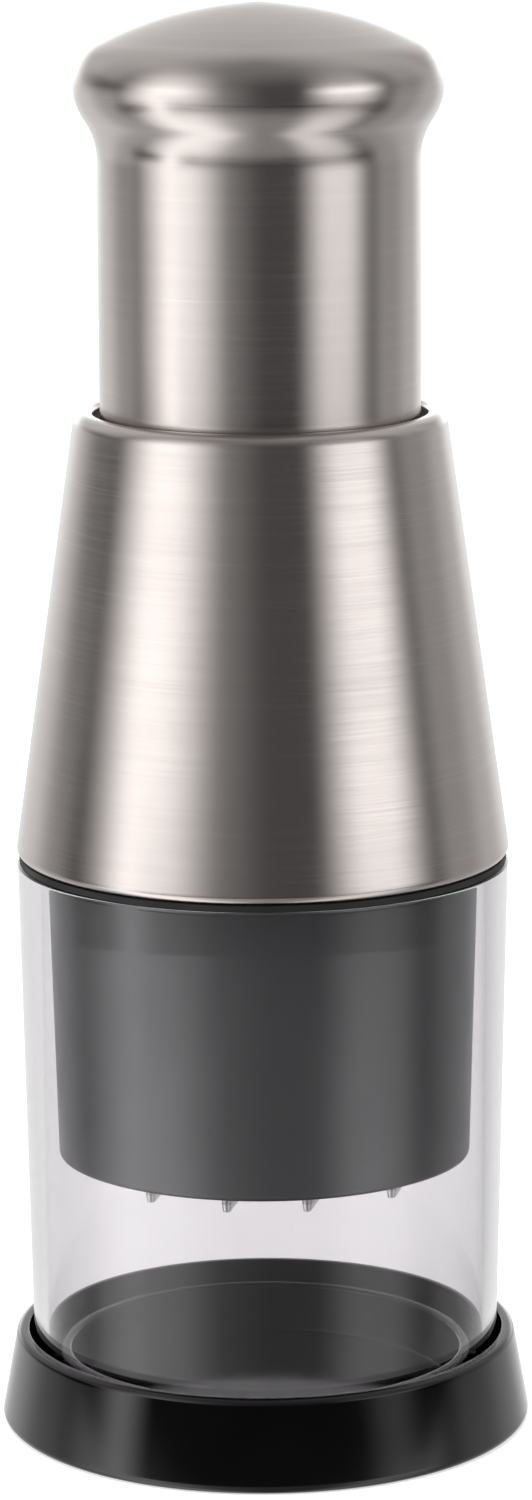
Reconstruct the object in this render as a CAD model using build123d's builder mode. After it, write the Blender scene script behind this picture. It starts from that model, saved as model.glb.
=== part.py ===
"""Plunger food chopper: base cap, clear container, steel housing, sprung plunger and indexing blade.

Millimetres, +Z up. The origin is the centre of the face that the base cap stands on. Every round piece
shares the Z axis. The pieces are drawn at rest, with the plunger up.
"""

from build123d import *
import os
from math import acos, asin, cos, degrees, radians, sin, sqrt, tan

# ---- Clearances ----------------------------------------------------------------------------------------
loose_gap = 0.3  # between round faces of pieces that slide or turn past each other
running_fit = 0.05  # radial, between the shaft and what turns or slides on it
snug_gap = 0.1  # between pieces that are assembled and stay put

# ---- Clear container -----------------------------------------------------------------------------------
container_height = 87.8  # from the base floor to the shoulder
container_bottom_radius = 37.15
container_flare = 1.8  # how much wider the shoulder is than the foot
container_bottom_wall = 2.25
container_bore_draft = 0.4
container_edge_round = 0.4
neck_height = 5.0
neck_wall = 1.3

# ---- Base cap ------------------------------------------------------------------------------------------
base_foot_round = 1.0
base_rim_wall = 1.85  # flat top of the rim, outside the container's channel
base_rim_height = 14.6
base_rim_lean = 2.68  # how far the rim leans in from the foot to the top
base_rim_round = 1.1
base_recess_depth = 1.4
base_floor_thickness = 2.6
base_foot_ring_width = 8.0
base_channel_flare = 0.7
inner_ring_gap = 1.7  # between the inner ring and the container's bore
inner_ring_wall = 2.2
inner_ring_height = 8.4  # above the floor
inner_ring_round = 0.8
centring_rib_count = 8
centring_rib_width = 1.6
centring_rib_height = 6.0

# ---- Seam gasket ---------------------------------------------------------------------------------------
gasket_thickness = 1.1
gasket_inset = 0.3  # how far the black seam lies inside the container's edge

# ---- Plunger handle ------------------------------------------------------------------------------------
handle_radius = 25.13
handle_length = 75.0
handle_insertion = 11.6  # how far the handle reaches into the housing at rest
handle_sheet = 0.8
handle_hem_width = 1.6
knob_overhang = 3.68  # how much wider the knob is than the handle
knob_widest_below_top = 12.2
knob_dome_radius = 55.0
knob_cove_radius = 10.4
knob_bulge_radius = 10.4

# ---- Steel housing shell, whose bends are measured on the inside of the sheet ---------------------------
shell_overhang = 0.25  # how far the foot stands out past the container
shell_opening_gap = 1.07  # between the opening and the handle
shell_shoulder_width = 2.9
shell_sheet = 0.7
shell_foot_bend = 0.5
shell_foot_hem = 1.6
shell_shoulder_bend = 1.3
shell_lip_bend = 0.1
shell_lip_depth = 2.8

# ---- Folded blade --------------------------------------------------------------------------------------
blade_floor_gap = 0.3  # between the cutting edge and the base floor at the end of the stroke
blade_thickness = 0.5
blade_edge_bevel = 1.2
blade_edge_land = 0.1
blade_lip_gap = 2.2  # between the circle of the folds and the guard cup's lip
blade_end_inset = 1.8  # how far the outermost folds stay inside that circle, sideways
blade_fold_pitch = 6.12  # sideways from one fold to the next
blade_strip_count = 9
blade_fold_radius = 0.5
blade_turn = -6.0  # degrees
blade_slot_gap = 0.35  # between the strip and the stripper's slot
blade_plate_grip = 4.0  # how deep the strip is set in its plate

# ---- Guard cup -----------------------------------------------------------------------------------------
guard_below_tips = 3.2  # how far the blade tips show below the guard cup
guard_neck_gap = 0.9  # between the cup's rim and the container's neck
guard_taper = 1.6
guard_wall = 1.6
guard_above_seam = 11.1
guard_edge_round = 1.2
guard_lip_height = 1.5
guard_lip_width = 1.7
snap_bead_count = 6
snap_bead_width = 4.0
snap_bead_depth = 0.2  # how far the beads reach over the stripper disc
snap_bead_height = 0.8
bayonet_count = 3
bayonet_lug_angle = 20.0
bayonet_lug_height = 2.0
bayonet_slot_depth = 4.5
bayonet_slot_gap_angle = 1.0

# ---- Stripper disc -------------------------------------------------------------------------------------
stripper_thickness = 2.0
stripper_seat_gap = 0.1

# ---- Blade carriage ------------------------------------------------------------------------------------
blade_plate_thickness = 5.0
blade_plate_above_stripper = 0.9  # at the end of the stroke
blade_plate_side_gap = 1.0
hub_flange_radius = 24.0
hub_flange_thickness = 3.0
hub_sleeve_radius = 15.0
hub_sleeve_height = 8.25  # from the flange to the middle of the teeth
hub_recess_gap = 0.6  # around the thrust washer
hub_recess_depth = 4.0
plate_screw_radius = 1.25
plate_screw_head_radius = 2.3
plate_screw_head_height = 1.5
plate_screw_reach = 4.0
plate_screw_inset = 3.8  # from the flange's edge

# ---- Indexing teeth ------------------------------------------------------------------------------------
tooth_count = 12
tooth_height = 2.5  # at the hub's outer radius
tooth_mesh_gap = 0.4
tooth_back_gap_angle = 1.0
pusher_radius = 9.0
pusher_tip_gap = 0.3  # between the tips of the crown and of the hub while the clip carries the hub
index_ring_bore_gap = 0.6
index_ring_flange_thickness = 1.5
index_ring_edge_width = 2.3  # of the flange, outside the screws' circle
index_screw_radius = 1.1
index_screw_head_radius = 2.0
index_screw_head_height = 1.4
index_screw_head_gap = 0.8  # between the heads and the ring's teeth
index_screw_reach = 2.2
index_screw_count = 3

# ---- Inner housing -------------------------------------------------------------------------------------
liner_wall = 1.6
liner_web_above_guard = 4.0
liner_web_above_mesh = 5.75  # from the middle of the teeth to the underside of the web
liner_web_thickness = 3.0
liner_top_below_shell = 5.1
liner_skirt_depth = 10.0
liner_skirt_gap = 0.3
liner_boss_wall = 2.9  # around the pusher's recess
liner_boss_height = 17.0
liner_boss_root_round = 0.6
liner_rib_count = 6
liner_rib_width = 1.8
liner_rib_depth = 4.5
liner_neck_stop_gap = 0.5
bush_wall = 2.4
bush_flange_width = 2.2
bush_flange_thickness = 0.8
pusher_recess_depth = 4.5
guide_ring_depth = 8.5
guide_ring_flange_thickness = 1.7
bumper_thickness = 3.7
bumper_margin = 0.9  # how far the bumper reaches past the handle's hem on each side
bumper_round = 0.8

# ---- Shaft and spring ----------------------------------------------------------------------------------
shaft_radius = 4.0
shaft_tail = 3.0  # below the hub's thrust face
shaft_end_chamfer = 0.6
clip_thickness = 0.8
clip_width = 2.6  # how far the clip stands out from the shaft
clip_groove_depth = 0.9
clip_opening_grip = 1.0  # how much narrower the clip's opening is than its groove
thrust_washer_thickness = 0.8
thrust_washer_width = 3.4
pin_radius = 1.0
pin_below_pusher_top = 2.6
pin_end_inset = 1.0
spring_boss_gap = 1.5
spring_wire = 1.8
spring_turns = 10
spring_free_height = 86.1
spring_seat_thickness = 0.8
spring_seat_width = 5.0

# ---- Handle core ---------------------------------------------------------------------------------------
core_tube_wall = 1.6
core_plate_thickness = 4.0
core_boss_wall = 4.0
core_boss_depth = 13.0
core_rib_count = 6
core_rib_width = 1.8
washer_width = 4.0
washer_thickness = 1.0
nut_flats = 13.0
nut_thickness = 5.0
shaft_above_nut = 1.2

# ---- Heights worked out from the sizes above -----------------------------------------------------------
base_floor = base_recess_depth + base_floor_thickness
shoulder_z = base_floor + container_height
neck_top_z = shoulder_z + neck_height
shell_bottom_z = shoulder_z + gasket_thickness
guard_top_z = shell_bottom_z + guard_above_seam
web_bottom_z = guard_top_z + liner_web_above_guard
web_top_z = web_bottom_z + liner_web_thickness
tooth_middle_z = web_bottom_z - liner_web_above_mesh
hub_flange_top_z = tooth_middle_z - hub_sleeve_height
plate_top_z = hub_flange_top_z - hub_flange_thickness
plate_bottom_z = plate_top_z - blade_plate_thickness
blade_top_z = plate_bottom_z + blade_plate_grip

# At the end of the stroke the blade is just above the floor and its plate just above the stripper disc, so
# the travel is half of the height that the plate, the disc and the tips leave above the floor.
stripper_top_above_tips = guard_below_tips + guard_lip_height + stripper_seat_gap + stripper_thickness
clear_height = plate_bottom_z - blade_plate_above_stripper - base_floor - blade_floor_gap
travel = (clear_height - stripper_top_above_tips) / 2
blade_tip_z = base_floor + blade_floor_gap + travel
guard_bottom_z = blade_tip_z + guard_below_tips
stripper_bottom_z = guard_bottom_z + guard_lip_height + stripper_seat_gap
stripper_top_z = stripper_bottom_z + stripper_thickness

boss_top_z = web_top_z + liner_boss_height
pusher_recess_top_z = web_bottom_z + pusher_recess_depth
pusher_top_z = pusher_recess_top_z - snug_gap
bumper_top_z = web_top_z + bumper_thickness
handle_bottom_z = bumper_top_z + loose_gap + travel
shell_top_z = handle_bottom_z + handle_insertion
liner_top_z = shell_top_z - liner_top_below_shell
knob_top_z = handle_bottom_z + handle_length
spring_seat_top_z = web_top_z + spring_seat_thickness
core_plate_bottom_z = spring_seat_top_z + snug_gap + spring_free_height
core_plate_top_z = core_plate_bottom_z + core_plate_thickness
washer_top_z = core_plate_top_z + washer_thickness
nut_top_z = washer_top_z + nut_thickness
shaft_top_z = nut_top_z + shaft_above_nut
thrust_face_z = plate_top_z + hub_recess_depth
thrust_washer_bottom_z = thrust_face_z - thrust_washer_thickness
clip_bottom_z = thrust_washer_bottom_z - clip_thickness
shaft_bottom_z = thrust_face_z - shaft_tail

# ---- Radii worked out from the sizes above -------------------------------------------------------------
container_bore_bottom = container_bottom_radius - container_bottom_wall
container_bore_top = container_bore_bottom + container_bore_draft
container_top_radius = container_bottom_radius + container_flare
neck_radius = container_bore_top + neck_wall
socket_radius = neck_radius + loose_gap
channel_radius = container_bottom_radius + loose_gap
channel_top_radius = channel_radius + base_channel_flare
rim_top_radius = channel_top_radius + base_rim_wall
base_radius = rim_top_radius + base_rim_lean
inner_ring_outer = container_bore_bottom - inner_ring_gap
inner_ring_inner = inner_ring_outer - inner_ring_wall
handle_hem_inner = handle_radius - handle_sheet - handle_hem_width
knob_radius = handle_radius + knob_overhang
shell_bottom_radius = container_top_radius + shell_overhang
shell_opening_radius = handle_radius + shell_opening_gap
shell_top_radius = shell_opening_radius + shell_shoulder_width
shell_lean = (shell_bottom_radius - shell_top_radius) / (shell_top_z - shell_bottom_z)
guard_top_radius = container_bore_top - guard_neck_gap
guard_bottom_radius = guard_top_radius - guard_taper
guard_lean = guard_taper / (guard_top_z - guard_bottom_z)
guard_lip_inner = guard_bottom_radius - guard_wall - guard_lip_width
blade_circle_radius = guard_lip_inner - blade_lip_gap  # on which the folds lie
blade_half_width = blade_circle_radius - blade_end_inset
plate_screw_circle_radius = hub_flange_radius - plate_screw_inset
index_ring_outer = hub_sleeve_radius - snug_gap
index_screw_circle_radius = index_ring_outer + index_screw_head_gap + index_screw_head_radius
index_ring_flange_radius = index_screw_circle_radius + index_ring_edge_width
pusher_recess_radius = pusher_radius + loose_gap
liner_boss_radius = pusher_recess_radius + liner_boss_wall
spring_mean_radius = liner_boss_radius + spring_boss_gap + spring_wire / 2
bush_radius = shaft_radius + bush_wall
clip_groove_radius = shaft_radius - clip_groove_depth
clip_radius = shaft_radius + clip_width
thrust_washer_radius = shaft_radius + thrust_washer_width
hub_recess_radius = thrust_washer_radius + hub_recess_gap
washer_radius = shaft_radius + washer_width
tooth_pitch = 360 / tooth_count


def shell_radius(height):
    """Outer radius of the steel shell's cone at a height."""
    return shell_bottom_radius - shell_lean * (height - shell_bottom_z)


def liner_radius(height):
    """Outer radius of the inner housing's cone at a height."""
    return shell_radius(height) - shell_sheet - snug_gap


def guard_radius(height):
    """Outer radius of the guard cup at a height."""
    return guard_bottom_radius + guard_lean * (height - guard_bottom_z)


stripper_radius = guard_radius(stripper_bottom_z) - guard_wall - loose_gap
blade_plate_radius = guard_radius(stripper_top_z) - guard_wall - blade_plate_side_gap
skirt_radius = guard_radius(web_bottom_z - liner_skirt_depth) - guard_wall - liner_skirt_gap


def outline(*corners):
    """Closed profile in the radius and height plane; a third number in a corner is its rounding."""
    points = [(corner[0], corner[1]) for corner in corners]
    rounds = [corner[2] if len(corner) == 3 else 0 for corner in corners]
    FilletPolyline(*points, radius=rounds, close=True)


def tube_profile(inner, outer, bottom, top):
    """Rectangle between two radii and two heights."""
    outline((inner, bottom), (outer, bottom), (outer, top), (inner, top))


def arc_block(inner, outer, bottom, top, sweep_angle):
    """Block between two radii and two heights that runs round the Z axis from the X axis."""
    with BuildPart() as block:
        with BuildSketch(Plane.XZ):
            with BuildLine():
                tube_profile(inner, outer, bottom, top)
            make_face()
        revolve(axis=Axis.Z, revolution_arc=sweep_angle)
    return block.part


# ---- Base cap ------------------------------------------------------------------------------------------
foot_ring_inner = base_radius - base_foot_ring_width
rib_outer = container_bore_bottom - loose_gap
rib_length = rib_outer - inner_ring_outer + inner_ring_wall / 2

with BuildPart() as base_cap:
    with BuildSketch(Plane.XZ):
        with BuildLine():
            outline(
                (0, base_recess_depth),
                (foot_ring_inner, base_recess_depth),
                (foot_ring_inner, 0),
                (base_radius, 0, base_foot_round),
                (rim_top_radius, base_rim_height, base_rim_round),
                (channel_top_radius, base_rim_height, base_rim_round / 4),
                (channel_radius, base_floor),
                (inner_ring_outer, base_floor, inner_ring_round),
                (inner_ring_outer, base_floor + inner_ring_height, inner_ring_round),
                (inner_ring_inner, base_floor + inner_ring_height, inner_ring_round),
                (inner_ring_inner, base_floor, inner_ring_round),
                (0, base_floor),
            )
        make_face()
    revolve(axis=Axis.Z)
    with BuildSketch(Plane.XY.offset(base_floor)):
        with PolarLocations(rib_outer - rib_length / 2, centring_rib_count):
            Rectangle(rib_length, centring_rib_width)
    extrude(amount=centring_rib_height)

# ---- Clear container -----------------------------------------------------------------------------------
with BuildPart() as container:
    with BuildSketch(Plane.XZ):
        with BuildLine():
            outline(
                (container_bore_bottom, base_floor, container_edge_round),
                (container_bottom_radius, base_floor, container_edge_round),
                (container_top_radius, shoulder_z, container_edge_round),
                (neck_radius, shoulder_z),
                (neck_radius, neck_top_z, container_edge_round),
                (container_bore_top, neck_top_z, container_edge_round),
            )
        make_face()
    revolve(axis=Axis.Z)

# ---- Seam gasket ---------------------------------------------------------------------------------------
with BuildPart() as seam_gasket:
    with BuildSketch(Plane.XZ):
        with BuildLine():
            tube_profile(socket_radius, container_top_radius - gasket_inset, shoulder_z, shell_bottom_z)
        make_face()
    revolve(axis=Axis.Z)

# ---- Steel housing shell -------------------------------------------------------------------------------
shell_hem_top_z = shell_bottom_z + shell_sheet
shell_crown_under_z = shell_top_z - shell_sheet
shell_hem_inner = shell_bottom_radius - shell_foot_hem

with BuildPart() as outer_shell:
    with BuildSketch(Plane.XZ):
        with BuildLine():
            outline(
                (shell_hem_inner, shell_bottom_z),
                (shell_bottom_radius, shell_bottom_z, shell_foot_bend + shell_sheet),
                (shell_top_radius, shell_top_z, shell_shoulder_bend + shell_sheet),
                (shell_opening_radius, shell_top_z, shell_lip_bend + shell_sheet),
                (shell_opening_radius, shell_top_z - shell_lip_depth),
                (shell_opening_radius + shell_sheet, shell_top_z - shell_lip_depth),
                (shell_opening_radius + shell_sheet, shell_crown_under_z, shell_lip_bend),
                (
                    shell_radius(shell_crown_under_z) - shell_sheet,
                    shell_crown_under_z,
                    shell_shoulder_bend,
                ),
                (
                    shell_radius(shell_hem_top_z) - shell_sheet,
                    shell_hem_top_z,
                    shell_foot_bend,
                ),
                (shell_hem_inner, shell_hem_top_z),
            )
        make_face()
    revolve(axis=Axis.Z)

# ---- Inner housing: liner cone, socket, web, boss and bayonet skirt -------------------------------------
socket_top_z = neck_top_z + liner_neck_stop_gap
skirt_bottom_z = web_bottom_z - liner_skirt_depth
skirt_inner = skirt_radius - liner_wall
lug_bottom_z = guard_top_z - bayonet_slot_depth
lug_top_z = lug_bottom_z + bayonet_lug_height
bayonet_lug = arc_block(
    skirt_radius - liner_wall / 2,
    guard_radius(lug_bottom_z) - snug_gap,
    lug_bottom_z,
    lug_top_z,
    bayonet_lug_angle,
)

with BuildPart() as inner_housing:
    with BuildSketch(Plane.XZ):
        with BuildLine():
            outline(
                (socket_radius, shell_hem_top_z),
                (liner_radius(shell_hem_top_z), shell_hem_top_z, shell_foot_bend + snug_gap),
                (liner_radius(liner_top_z), liner_top_z),
                (liner_radius(liner_top_z) - liner_wall, liner_top_z),
                (liner_radius(web_top_z) - liner_wall, web_top_z, liner_wall),
                (liner_boss_radius, web_top_z, liner_boss_root_round),
                (liner_boss_radius, boss_top_z),
                (bush_radius, boss_top_z),
                (bush_radius, pusher_recess_top_z),
                (pusher_recess_radius, pusher_recess_top_z),
                (pusher_recess_radius, web_bottom_z),
                (skirt_inner, web_bottom_z, liner_wall),
                (skirt_inner, skirt_bottom_z),
                (skirt_radius, skirt_bottom_z),
                (skirt_radius, web_bottom_z),
                (liner_radius(web_bottom_z) - liner_wall, web_bottom_z),
                (liner_radius(socket_top_z) - liner_wall, socket_top_z),
                (socket_radius, socket_top_z),
            )
        make_face()
    revolve(axis=Axis.Z)
    rib_inner = index_ring_flange_radius + snug_gap
    with BuildSketch(Plane.XY.offset(web_bottom_z)):
        with PolarLocations((rib_inner + skirt_inner + liner_wall / 2) / 2, liner_rib_count):
            Rectangle(skirt_inner + liner_wall / 2 - rib_inner, liner_rib_width)
    extrude(amount=-liner_rib_depth)
    with PolarLocations(0, bayonet_count, start_angle=-bayonet_lug_angle / 2):
        add(bayonet_lug)
    with BuildSketch(Plane.XY.offset(web_bottom_z)):
        with PolarLocations(index_screw_circle_radius, index_screw_count):
            Circle(index_screw_radius + running_fit)
    extrude(amount=index_screw_reach + snug_gap, mode=Mode.SUBTRACT)

# ---- Guard cup -----------------------------------------------------------------------------------------
bead_bottom_z = stripper_top_z + snug_gap
slot_angle = bayonet_lug_angle + 2 * bayonet_slot_gap_angle
slot_outer = guard_top_radius + guard_wall
slot_run = arc_block(skirt_radius, slot_outer, lug_bottom_z, lug_top_z + snug_gap, 2 * slot_angle)
slot_entry = arc_block(skirt_radius, slot_outer, lug_bottom_z, guard_top_z + guard_wall, slot_angle)
bead_inner = stripper_radius - snap_bead_depth

with BuildPart() as guard_cup:
    with BuildSketch(Plane.XZ):
        with BuildLine():
            outline(
                (guard_lip_inner, guard_bottom_z),
                (guard_bottom_radius, guard_bottom_z, guard_edge_round),
                (guard_top_radius, guard_top_z),
                (guard_top_radius - guard_wall, guard_top_z),
                (guard_radius(stripper_bottom_z) - guard_wall, guard_bottom_z + guard_lip_height),
                (guard_lip_inner, guard_bottom_z + guard_lip_height),
            )
        make_face()
    revolve(axis=Axis.Z)
    with BuildSketch(Plane.XY.offset(bead_bottom_z)):
        bead_length = guard_radius(bead_bottom_z) - guard_wall / 2 - bead_inner
        with PolarLocations(bead_inner + bead_length / 2, snap_bead_count, start_angle=blade_turn):
            Rectangle(bead_length, snap_bead_width)
    extrude(amount=snap_bead_height)
    with PolarLocations(0, bayonet_count, start_angle=-slot_angle / 2):
        add(slot_run, mode=Mode.SUBTRACT)
    with PolarLocations(0, bayonet_count, start_angle=slot_angle / 2):
        add(slot_entry, mode=Mode.SUBTRACT)

# ---- Guide ring, shaft bush, spring seat and stop bumper -------------------------------------------------
guide_ring_bore = handle_radius + loose_gap
guide_ring_outer = liner_radius(liner_top_z) - liner_wall - snug_gap

with BuildPart() as guide_ring:
    with BuildSketch(Plane.XZ):
        with BuildLine():
            outline(
                (guide_ring_bore, liner_top_z - guide_ring_depth),
                (guide_ring_outer, liner_top_z - guide_ring_depth),
                (guide_ring_outer, liner_top_z),
                (liner_radius(liner_top_z) - liner_wall / 3, liner_top_z),
                (liner_radius(liner_top_z) - liner_wall / 3, liner_top_z + guide_ring_flange_thickness),
                (guide_ring_bore, liner_top_z + guide_ring_flange_thickness),
            )
        make_face()
    revolve(axis=Axis.Z)

with BuildPart() as shaft_bush:
    with BuildSketch(Plane.XZ):
        with BuildLine():
            outline(
                (shaft_radius + running_fit, pusher_recess_top_z),
                (bush_radius, pusher_recess_top_z),
                (bush_radius, boss_top_z),
                (bush_radius + bush_flange_width, boss_top_z),
                (bush_radius + bush_flange_width, boss_top_z + bush_flange_thickness),
                (shaft_radius + running_fit, boss_top_z + bush_flange_thickness),
            )
        make_face()
    revolve(axis=Axis.Z)

with BuildPart() as spring_seat_washer:
    with BuildSketch(Plane.XY.offset(web_top_z)):
        Circle(spring_mean_radius + spring_seat_width / 2)
        Circle(liner_boss_radius + liner_boss_root_round + snug_gap, mode=Mode.SUBTRACT)
    extrude(amount=spring_seat_thickness)

with BuildPart() as stop_bumper:
    with BuildSketch(Plane.XY.offset(web_top_z)):
        Circle(handle_radius + bumper_margin)
        Circle(handle_hem_inner - bumper_margin, mode=Mode.SUBTRACT)
    extrude(amount=bumper_thickness)
    fillet(stop_bumper.edges().group_by(Axis.Z)[-1], bumper_round)


# ---- Indexing teeth: ratchet faces that all point at the middle of the teeth on the axis -----------------
tooth_rise = tooth_height / 2 / hub_sleeve_radius  # height above the middle, per unit of radius
tooth_top_z = tooth_middle_z + tooth_height / 2
tooth_root_z = tooth_middle_z - tooth_height / 2


def tooth_notch(length):
    """One saw-tooth notch: a pyramid that runs outwards from the axis, with a steep face and a ramp."""
    ramp_slope = tooth_rise * (1 + 1 / cos(radians(tooth_pitch))) / tan(radians(tooth_pitch))
    with BuildPart() as notch:
        for reach in (length / 20, length):
            root = -tooth_rise * reach
            ramp_end = root + 2 * reach * ramp_slope
            section = Plane(origin=(reach, 0, tooth_middle_z), x_dir=(0, 1, 0), z_dir=(1, 0, 0))
            with BuildSketch(section):
                Polygon((0, root), (2 * reach, ramp_end), (0, ramp_end), align=None)
        loft(ruled=True)
    return notch.part


notch = tooth_notch(hub_sleeve_radius + loose_gap)

# ---- Blade carriage: index hub, blade plate, folded blade and their screws -------------------------------
# The screws stand in the open V spaces between the folds.
plate_screw_places = []
for folds_across, side in ((-1.5, -1), (2.5, -1), (1.5, 1), (-2.5, 1)):
    across = folds_across * blade_fold_pitch
    plate_screw_places.append((across, side * sqrt(plate_screw_circle_radius**2 - across**2)))
plate_screw_plane = Plane.XY.offset(hub_flange_top_z).rotated((0, 0, blade_turn))


def plate_screw_circles(radius):
    """A circle at each blade plate screw."""
    with Locations(*plate_screw_places):
        Circle(radius)


with BuildPart() as index_hub:
    with BuildSketch(Plane.XZ):
        with BuildLine():
            outline(
                (shaft_radius + running_fit, thrust_face_z),
                (hub_recess_radius, thrust_face_z),
                (hub_recess_radius, plate_top_z),
                (hub_flange_radius, plate_top_z),
                (hub_flange_radius, hub_flange_top_z, hub_flange_thickness / 3),
                (hub_sleeve_radius, hub_flange_top_z, hub_flange_thickness / 2),
                (hub_sleeve_radius, tooth_top_z),
                (shaft_radius + running_fit, tooth_top_z),
            )
        make_face()
    revolve(axis=Axis.Z)
    with PolarLocations(0, tooth_count):
        add(notch, mode=Mode.SUBTRACT)
    with BuildSketch(plate_screw_plane):
        plate_screw_circles(plate_screw_radius + running_fit)
    extrude(amount=-hub_flange_thickness, mode=Mode.SUBTRACT)

with BuildPart() as blade_plate_screws:
    with BuildSketch(plate_screw_plane):
        plate_screw_circles(plate_screw_head_radius)
    extrude(amount=plate_screw_head_height)
    fillet(blade_plate_screws.edges().group_by(Axis.Z)[-1], plate_screw_head_height / 3)
    with BuildSketch(plate_screw_plane):
        plate_screw_circles(plate_screw_radius)
    extrude(amount=-(hub_flange_thickness + plate_screw_reach))


def fold_centre(index):
    """Centre of a fold's bend: even folds lie in front, odd ones behind, with their backs on one circle."""
    side = 1 if index % 2 else -1
    evenly = (index - blade_strip_count / 2) * blade_fold_pitch
    across = max(-blade_half_width, min(blade_half_width, evenly))
    return Vector(across, side * (sqrt(blade_circle_radius**2 - across**2) - blade_fold_radius))


def strip_ends(index):
    """Ends of one flat strip, tangent to the bends at both of its folds."""
    side = 1 if index % 2 else -1
    start, end = fold_centre(index), fold_centre(index + 1)
    along = end - start
    swing = side * degrees(acos(2 * blade_fold_radius / along.length))
    normal = along.normalized().rotate(Axis.Z, swing)
    return start + normal * blade_fold_radius, end - normal * blade_fold_radius


def folded_strip(width):
    """Plan outline of the folded blade strip, given its width across the centre line."""
    with BuildSketch() as strip:
        with BuildLine():
            reached = None
            for index in range(blade_strip_count):
                start, end = strip_ends(index)
                if reached:
                    back = Vector(0, blade_fold_radius if index % 2 else -blade_fold_radius)
                    ThreePointArc(reached, fold_centre(index) + back, start)
                Line(start, end)
                reached = end
            offset(amount=width / 2)
        make_face()
    return strip.sketch


with BuildPart() as blade_plate:
    with BuildSketch(Plane.XY.offset(plate_bottom_z)):
        Circle(blade_plate_radius)
    extrude(amount=blade_plate_thickness)
    with BuildSketch(Plane.XY.offset(plate_bottom_z)):
        add(folded_strip(blade_thickness + 2 * running_fit), rotation=blade_turn)
    extrude(amount=blade_top_z - plate_bottom_z, mode=Mode.SUBTRACT)
    with BuildSketch(plate_screw_plane):
        plate_screw_circles(plate_screw_radius + running_fit)
    extrude(amount=-(hub_flange_thickness + plate_screw_reach + snug_gap), mode=Mode.SUBTRACT)
    chamfer(blade_plate.edges().filter_by(GeomType.CIRCLE).sort_by(SortBy.LENGTH)[-2:], blade_thickness)

with BuildPart() as zigzag_blade:
    with BuildSketch(Plane.XY.offset(blade_tip_z)):
        add(folded_strip(blade_thickness), rotation=blade_turn)
    extrude(amount=blade_top_z - blade_tip_z)
    cutting_face = zigzag_blade.faces().sort_by(Axis.Z)[0]
    chamfer(
        cutting_face.edges(),
        (blade_thickness - blade_edge_land) / 2,
        blade_edge_bevel,
        reference=cutting_face,
    )

# ---- Stripper disc -------------------------------------------------------------------------------------
with BuildPart() as stripper_disc:
    with BuildSketch(Plane.XY.offset(stripper_bottom_z)):
        Circle(stripper_radius)
        add(
            folded_strip(blade_thickness + 2 * blade_slot_gap),
            rotation=blade_turn,
            mode=Mode.SUBTRACT,
        )
    extrude(amount=stripper_thickness)

# ---- Fixed index ring and its screws ---------------------------------------------------------------------
index_ring_bore = pusher_radius + index_ring_bore_gap
index_flange_bottom_z = web_bottom_z - index_ring_flange_thickness
raised_hub = index_hub.part.moved(Location((0, 0, tooth_mesh_gap), (0, 0, tooth_back_gap_angle)))

with BuildPart() as index_ring:
    with BuildSketch(Plane.XZ):
        with BuildLine():
            outline(
                (index_ring_bore, tooth_root_z),
                (index_ring_outer, tooth_root_z),
                (index_ring_outer, index_flange_bottom_z),
                (index_ring_flange_radius, index_flange_bottom_z),
                (index_ring_flange_radius, web_bottom_z),
                (index_ring_bore, web_bottom_z),
            )
        make_face()
    revolve(axis=Axis.Z)
    add(raised_hub, mode=Mode.SUBTRACT)
    with BuildSketch(Plane.XY.offset(index_flange_bottom_z)):
        with PolarLocations(index_screw_circle_radius, index_screw_count):
            Circle(index_screw_radius + running_fit)
    extrude(amount=index_ring_flange_thickness, mode=Mode.SUBTRACT)

with BuildPart() as index_ring_screws:
    with BuildSketch(Plane.XY.offset(index_flange_bottom_z)):
        with PolarLocations(index_screw_circle_radius, index_screw_count):
            Circle(index_screw_head_radius)
    extrude(amount=-index_screw_head_height)
    fillet(index_ring_screws.edges().group_by(Axis.Z)[0], index_screw_head_height / 3)
    with BuildSketch(Plane.XY.offset(index_flange_bottom_z)):
        with PolarLocations(index_screw_circle_radius, index_screw_count):
            Circle(index_screw_radius)
    extrude(amount=index_ring_flange_thickness + index_screw_reach)

# ---- Shaft with its crown, pin, clip, washer and nut -----------------------------------------------------
pin_z = pusher_top_z - pin_below_pusher_top
pin_length = 2 * (pusher_radius - pin_end_inset)
crown_lift = tooth_height * pusher_radius / hub_sleeve_radius + pusher_tip_gap
lifted_hub = index_hub.part.moved(Location((0, 0, crown_lift), (0, 0, tooth_pitch / 2)))

with BuildPart() as pusher_crown:
    with BuildSketch(Plane.XZ):
        with BuildLine():
            tube_profile(shaft_radius + running_fit, pusher_radius, tooth_root_z, pusher_top_z)
        make_face()
    revolve(axis=Axis.Z)
    add(lifted_hub, mode=Mode.SUBTRACT)
    with BuildSketch(Plane.YZ):
        with Locations((0, pin_z)):
            Circle(pin_radius + running_fit)
    extrude(amount=pusher_radius, both=True, mode=Mode.SUBTRACT)

with BuildPart() as pusher_pin:
    with BuildSketch(Plane.YZ):
        with Locations((0, pin_z)):
            Circle(pin_radius)
    extrude(amount=pin_length / 2, both=True)
    chamfer(pusher_pin.edges().filter_by(GeomType.CIRCLE), pin_radius / 4)

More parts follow.
